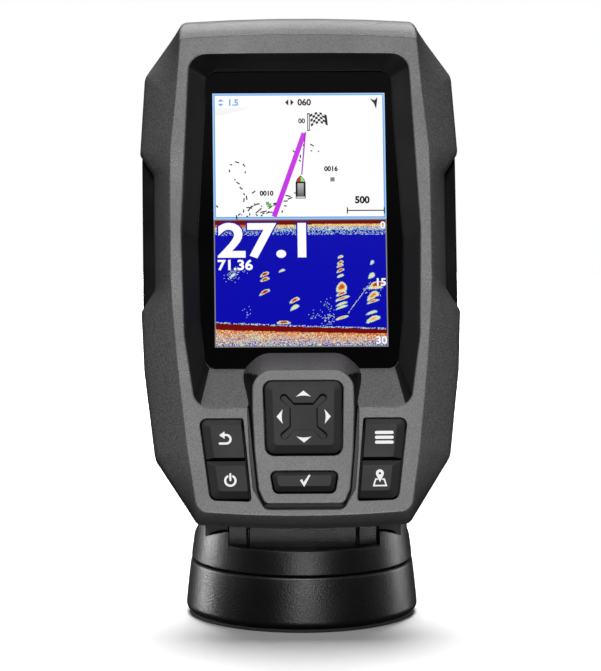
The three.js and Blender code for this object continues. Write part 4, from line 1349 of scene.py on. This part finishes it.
PIN_Z = TILT_PIN.z / MM
BASE_RADIUS = 32.6
BASE_TOP_Z = 15.6
DRUM_RADIUS = 31.1
KNUCKLE_RADIUS = 8.7
EAR_INNER_X = 21.3
EAR_OUTER_X = 28.0
KNUCKLE_HALF = 14.9
HEEL_REACH = 10.0
DRUM_FLOOR_Z = 19.2
DRUM_LIP_Z = 22.8
DRUM_TOP_Z = 25.6
CHEEK_TOP_Z = 30.2
CHEEK_PROFILE = [(0.05, 22), (30.4, 22), (29.9, 26), (29.4, 29.2), (29.1, 29.9), (28.4, CHEEK_TOP_Z),
                 (0.05, CHEEK_TOP_Z)]
PIN_HOLE_RADIUS = 2.8
CAP_SEAT_RADIUS = 5.2
ARM_INNER_X, ARM_OUTER_X = 16.0, 20.7


def on_pin(name, profile, segments=96):
    """A profile turned round the tilt pin's line."""
    return turned(name, profile, segments, "X", (0, 0, PIN_Z))


def base_shell():
    profile = [(28.0, 1.35), (31.3, 1.35), (31.9, 1.5), (32.35, 1.85), (BASE_RADIUS, 2.5), (32.58, 3.2),
               (32.35, 5.5), (31.95, 9.5), (31.5, 13.2), (31.36, 14.6), (31.25, 15.1), (31.0, 15.45),
               (30.6, BASE_TOP_Z), (5.8, BASE_TOP_Z)]
    shell = turned("base_body", profile)
    cut(shell, turned("base_hollow", [(27.2, 0), (27.2, 13.0), (5.85, 13.0), (5.85, 0)]),
        post("bore", 0, 0, 5.8, 0, 20))
    finish_surface(shell, 40)
    place(shell, WORLD, "base", MOUNT, ["base_shell"])
    pad = turned("foot_ring", disc_profile(31.6, 0, 1.0, 0.3))
    finish_surface(pad, 40)
    place(pad, WORLD, "base", FOOT, ["foot_pad"])


def head_clearance():
    """The space that the head's lower rim sweeps as it tilts, over the swivel's cheeks."""
    side_view = [(-40, 33.2), (-12.3, 23.9), (-9.9, 31), (-40, 45)]
    points = [(x, y, z) for x in (-40, 40) for y, z in side_view]
    faces = [(0, 1, 2, 3), (7, 6, 5, 4)] + [(i, i + 4, (i + 1) % 4 + 4, (i + 1) % 4) for i in range(4)]
    return from_faces("head_clearance", points, faces)


def swivel_drum():
    foot = BASE_TOP_Z + 0.3
    return turned("swivel_drum", [
        (0.05, foot), (30.5, foot), (30.9, foot + 0.12), (DRUM_RADIUS, foot + 0.5), (30.95, 18),
        (30.6, 20.5), (30.4, 22.0), (30.25, 22.7), (29.95, 23.4), (29.4, 24.2), (28.7, 24.8),
        (27.9, 25.25), (26.9, 25.5), (25.8, DRUM_TOP_Z), (0.05, DRUM_TOP_Z)])


def add_cheeks(drum):
    """Raised walls in front of the ears, cut away where the head sweeps over them."""
    for side in (-1, 1):
        cheek = turned("cheek", CHEEK_PROFILE)
        low, high = on_side(side, EAR_INNER_X - 0.3, 33)
        combine(cheek, box_mesh("cheek_span", low, high, -26, -5, 21, 32), "INTERSECT")
        cut(cheek, head_clearance())
        join(drum, cheek)


def hollow_drum(drum):
    """The valley between the ears, open to the back."""
    bowl = turned("bowl", [(0.05, DRUM_FLOOR_Z), (25.5, DRUM_FLOOR_Z), (28.4, DRUM_LIP_Z - 0.1),
                           (29.0, DRUM_LIP_Z), (33, DRUM_LIP_Z), (33, 30), (0.05, 30)])
    valley = box_mesh("valley", -EAR_INNER_X, EAR_INNER_X, -40, 40, DRUM_FLOOR_Z - 1, 40)
    combine(bowl, valley, "INTERSECT")
    cut(drum, bowl, box_mesh("rear_gap", -EAR_INNER_X, EAR_INNER_X, 0, 40, DRUM_FLOOR_Z, 40),
        box_mesh("rear_floor", -EAR_INNER_X, EAR_INNER_X, 11, 40, 17.4, 40))


def add_ears(drum):
    for side in (-1, 1):
        low, high = on_side(side, EAR_INNER_X, EAR_OUTER_X)
        near, far = on_side(side, EAR_INNER_X - 0.35, EAR_INNER_X + 1.5)
        join(drum, on_pin("ear", disc_profile(KNUCKLE_RADIUS, low, high, 1.3)),
             on_pin("boss", [(KNUCKLE_RADIUS - 0.2, near), (KNUCKLE_RADIUS - 0.2, far)]),
             box_mesh("upright", low + 0.02, high - 0.02, -KNUCKLE_RADIUS, KNUCKLE_RADIUS, 20, PIN_Z))


def add_knuckle(drum):
    """The middle knuckle on its stem, and the spindle that turns in the base."""
    join(drum, on_pin("knuckle", [(KNUCKLE_RADIUS, -KNUCKLE_HALF), (KNUCKLE_RADIUS, KNUCKLE_HALF)]),
         box_mesh("stem", -KNUCKLE_HALF, KNUCKLE_HALF, -5, 5, DRUM_FLOOR_Z - 1, PIN_Z),
         box_mesh("heel", -KNUCKLE_HALF, KNUCKLE_HALF, -HEEL_REACH, 0, PIN_Z - 7.1, PIN_Z),
         post("spindle", 0, 0, 5.5, 6.4, DRUM_FLOOR_Z - 1))


def swivel_body():
    drum = swivel_drum()
    add_cheeks(drum)
    hollow_drum(drum)
    add_ears(drum)
    add_knuckle(drum)
    cut(drum, on_pin("pin_hole", [(PIN_HOLE_RADIUS, -40), (PIN_HOLE_RADIUS, 40)], 48))
    for side in (-1, 1):
        low, high = on_side(side, EAR_OUTER_X - 1.6, EAR_OUTER_X + 2)
        cut(drum, on_pin("cap_seat", [(CAP_SEAT_RADIUS, low), (CAP_SEAT_RADIUS, high)], 64))
    cut(drum, post("screw_bore", 0, 0, 2.2, 4, 16))
    finish_surface(drum, 30, 0.28, 36)
    place(drum, WORLD, "swivel", MOUNT, ["swivel_body"])


def ear_caps():
    for name, side in (("right", 1), ("left", -1)):
        low, high = on_side(side, EAR_OUTER_X - 1.3, EAR_OUTER_X + 0.4)
        cap = on_pin(f"ear_disc_{name}", disc_profile(4.9, low, high, 0.35), 72)
        finish_surface(cap, 40)
        place(cap, WORLD, "swivel", MOUNT, [f"ear_cap_{name}"])


def cradle():
    plate_u, plate_top, wall_top = 10.4, 13.7, 42.0
    plate = tilted_box("cradle_frame", -ARM_OUTER_X, ARM_OUTER_X, plate_u, plate_top, -22.1, 9.5)
    join(plate, tilted_box("wall", -14.1, 14.1, plate_u, wall_top, -22.1, REAR_N - 0.4))
    for side in (-1, 1):
        low, high = on_side(side, ARM_INNER_X, ARM_OUTER_X)
        join(plate, on_pin("arm", [(KNUCKLE_RADIUS, low), (KNUCKLE_RADIUS, high)]),
             tilted_box("web", low, high, 0, plate_u + 1, -KNUCKLE_RADIUS, KNUCKLE_RADIUS),
             box_mesh("heel", low, high, -HEEL_REACH, 0, PIN_Z - 7.9, PIN_Z))
    cut(plate, on_pin("pin_hole", [(PIN_HOLE_RADIUS, -30), (PIN_HOLE_RADIUS, 30)], 48))
    finish_surface(plate, 30, 0.3, 36)
    place(plate, WORLD, "cradle", MOUNT, ["cradle"])


def build_mount():
    base_shell()
    swivel_body()
    ear_caps()
    cradle()


def build_head():
    front_bezel()
    side_keys()
    select_key()
    pad_cap()
    signs()
    cover_glass()
    screen_picture()
    rear_housing()
    rear_fittings()


# ---- Stage ----

def area_light(name, position, target, size_x, size_y, power):
    data = bpy.data.lights.new(name, "AREA")
    data.shape = "RECTANGLE"
    data.size = size_x
    data.size_y = size_y
    data.energy = power
    lamp = new_object(name, data)
    lamp.location = position
    lamp.rotation_euler = (Vector(target) - Vector(position)).to_track_quat("-Z", "Y").to_euler()
    return lamp


def polar(azimuth, elevation, distance):
    a, e = math.radians(azimuth), math.radians(elevation)
    return Vector((math.sin(a) * math.cos(e), -math.cos(a) * math.cos(e), math.sin(e))) * distance


def only_on(lamp, pieces):
    """The lamp lights these pieces alone."""
    group = bpy.data.collections.new(f"{lamp.name}_receivers")
    for piece in pieces:
        group.objects.link(piece)
    lamp.light_linking.receiver_collection = group


def lights():
    middle = Vector((0, 0, 0.08))
    foot = Vector((0, 0, 0.02))
    chin = Vector((0, -0.02, 0.06))
    area_light("face_front", middle + polar(-3, 50, 2.2), middle, 0.7, 0.7, 37)
    area_light("back_top", middle + polar(180, 54, 1.1), middle, 1.2, 0.6, 18)
    area_light("side_left", middle + polar(-80, 20, 1.2), middle, 0.2, 0.3, 0.5)
    area_light("side_right", middle + polar(80, 20, 1.2), middle, 0.2, 0.3, 0.4)
    bezel = [bpy.data.objects["bezel_shell"]]
    only_on(area_light("low_front", chin + polar(0, 2, 1.0), chin, 0.5, 0.2, 13), bezel)
    mount_bodies = ("base", "swivel", "cradle")
    mount = [o for o in bpy.context.scene.objects if body_of(o) and body_of(o)[0] in mount_bodies]
    only_on(area_light("foot_front", foot + polar(2, 4, 1.0), foot, 0.16, 0.3, 3.0), mount)
    only_on(area_light("foot_left", foot + polar(-115, 3, 0.8), foot, 0.15, 0.3, 4.2), mount)
    only_on(area_light("foot_right", foot + polar(115, 3, 0.8), foot, 0.15, 0.3, 2.2), mount)


FLOOR_RADIUS = 0.6  # metres


def floor():
    rim = [(x, y, 0) for x, y in arc(0, 0, FLOOR_RADIUS, 0, 355, 71)]
    piece = from_faces("floor", rim, [tuple(range(len(rim)))])
    material, tree, shader = principled("pale_floor")
    mottle = ramp(tree, noise(tree, 3.0), (0.34, 0.34, 0.34), (0.37, 0.37, 0.37))
    link(tree, mottle, shader.inputs["Base Color"])
    set_inputs(shader, {"Roughness": 0.9, "Specular IOR Level": 0.1})
    piece.data.materials.append(material)
    piece.visible_diffuse = False
    piece.visible_glossy = False
    only_on(area_light("floor_back", polar(180, 55, 1.1), Vector((0, 0, 0)), 0.7, 0.5, 55), [piece])


AMBIENT = 0.02


def surroundings():
    """A white room for the camera, and a dim one for what the object reflects."""
    world = bpy.data.worlds.new("studio")
    bpy.context.scene.world = world
    world.use_nodes = True
    tree = world.node_tree
    dim = tree.nodes["Background"]
    set_inputs(dim, {"Color": (1, 1, 1, 1), "Strength": AMBIENT})
    white = node(tree, "ShaderNodeBackground")
    set_inputs(white, {"Color": (1, 1, 1, 1)})
    path = node(tree, "ShaderNodeLightPath")
    mix = node(tree, "ShaderNodeMixShader")
    link(tree, path.outputs["Is Camera Ray"], mix.inputs["Fac"])
    link(tree, dim.outputs["Background"], mix.inputs[1])
    link(tree, white.outputs["Background"], mix.inputs[2])
    link(tree, mix.outputs["Shader"], tree.nodes["World Output"].inputs["Surface"])
    bpy.context.scene.view_settings.view_transform = "Standard"


CAMERA_AZIMUTH = -1.8
CAMERA_ELEVATION = 9.7
CAMERA_DISTANCE = 2.2
CAMERA_DROP = 0.0326  # metres below the line to the middle of the screen
CAMERA_LENS = 417.5
CAMERA_AIM_N = 0.0225  # metres in front of the tilt pin, where the camera aims


def camera():
    azimuth = math.radians(CAMERA_AZIMUTH)
    back = polar(CAMERA_AZIMUTH, CAMERA_ELEVATION, 1.0)
    right = Vector((math.cos(azimuth), math.sin(azimuth), 0))
    up = back.cross(right)
    data = bpy.data.cameras.new("camera")
    data.sensor_width = 36
    data.lens = CAMERA_LENS
    data.clip_start = 0.1
    data.clip_end = 50
    eye = new_object("camera", data)
    turn = Matrix((right, up, back)).transposed().to_4x4()
    aim = SCREEN_CENTRE + OUT * CAMERA_AIM_N
    turn.translation = aim + back * CAMERA_DISTANCE - up * CAMERA_DROP
    eye.matrix_world = turn
    bpy.context.scene.camera = eye


dress_cad_nodes()
build_head()
build_mount()
camera()
lights()
floor()
surroundings()
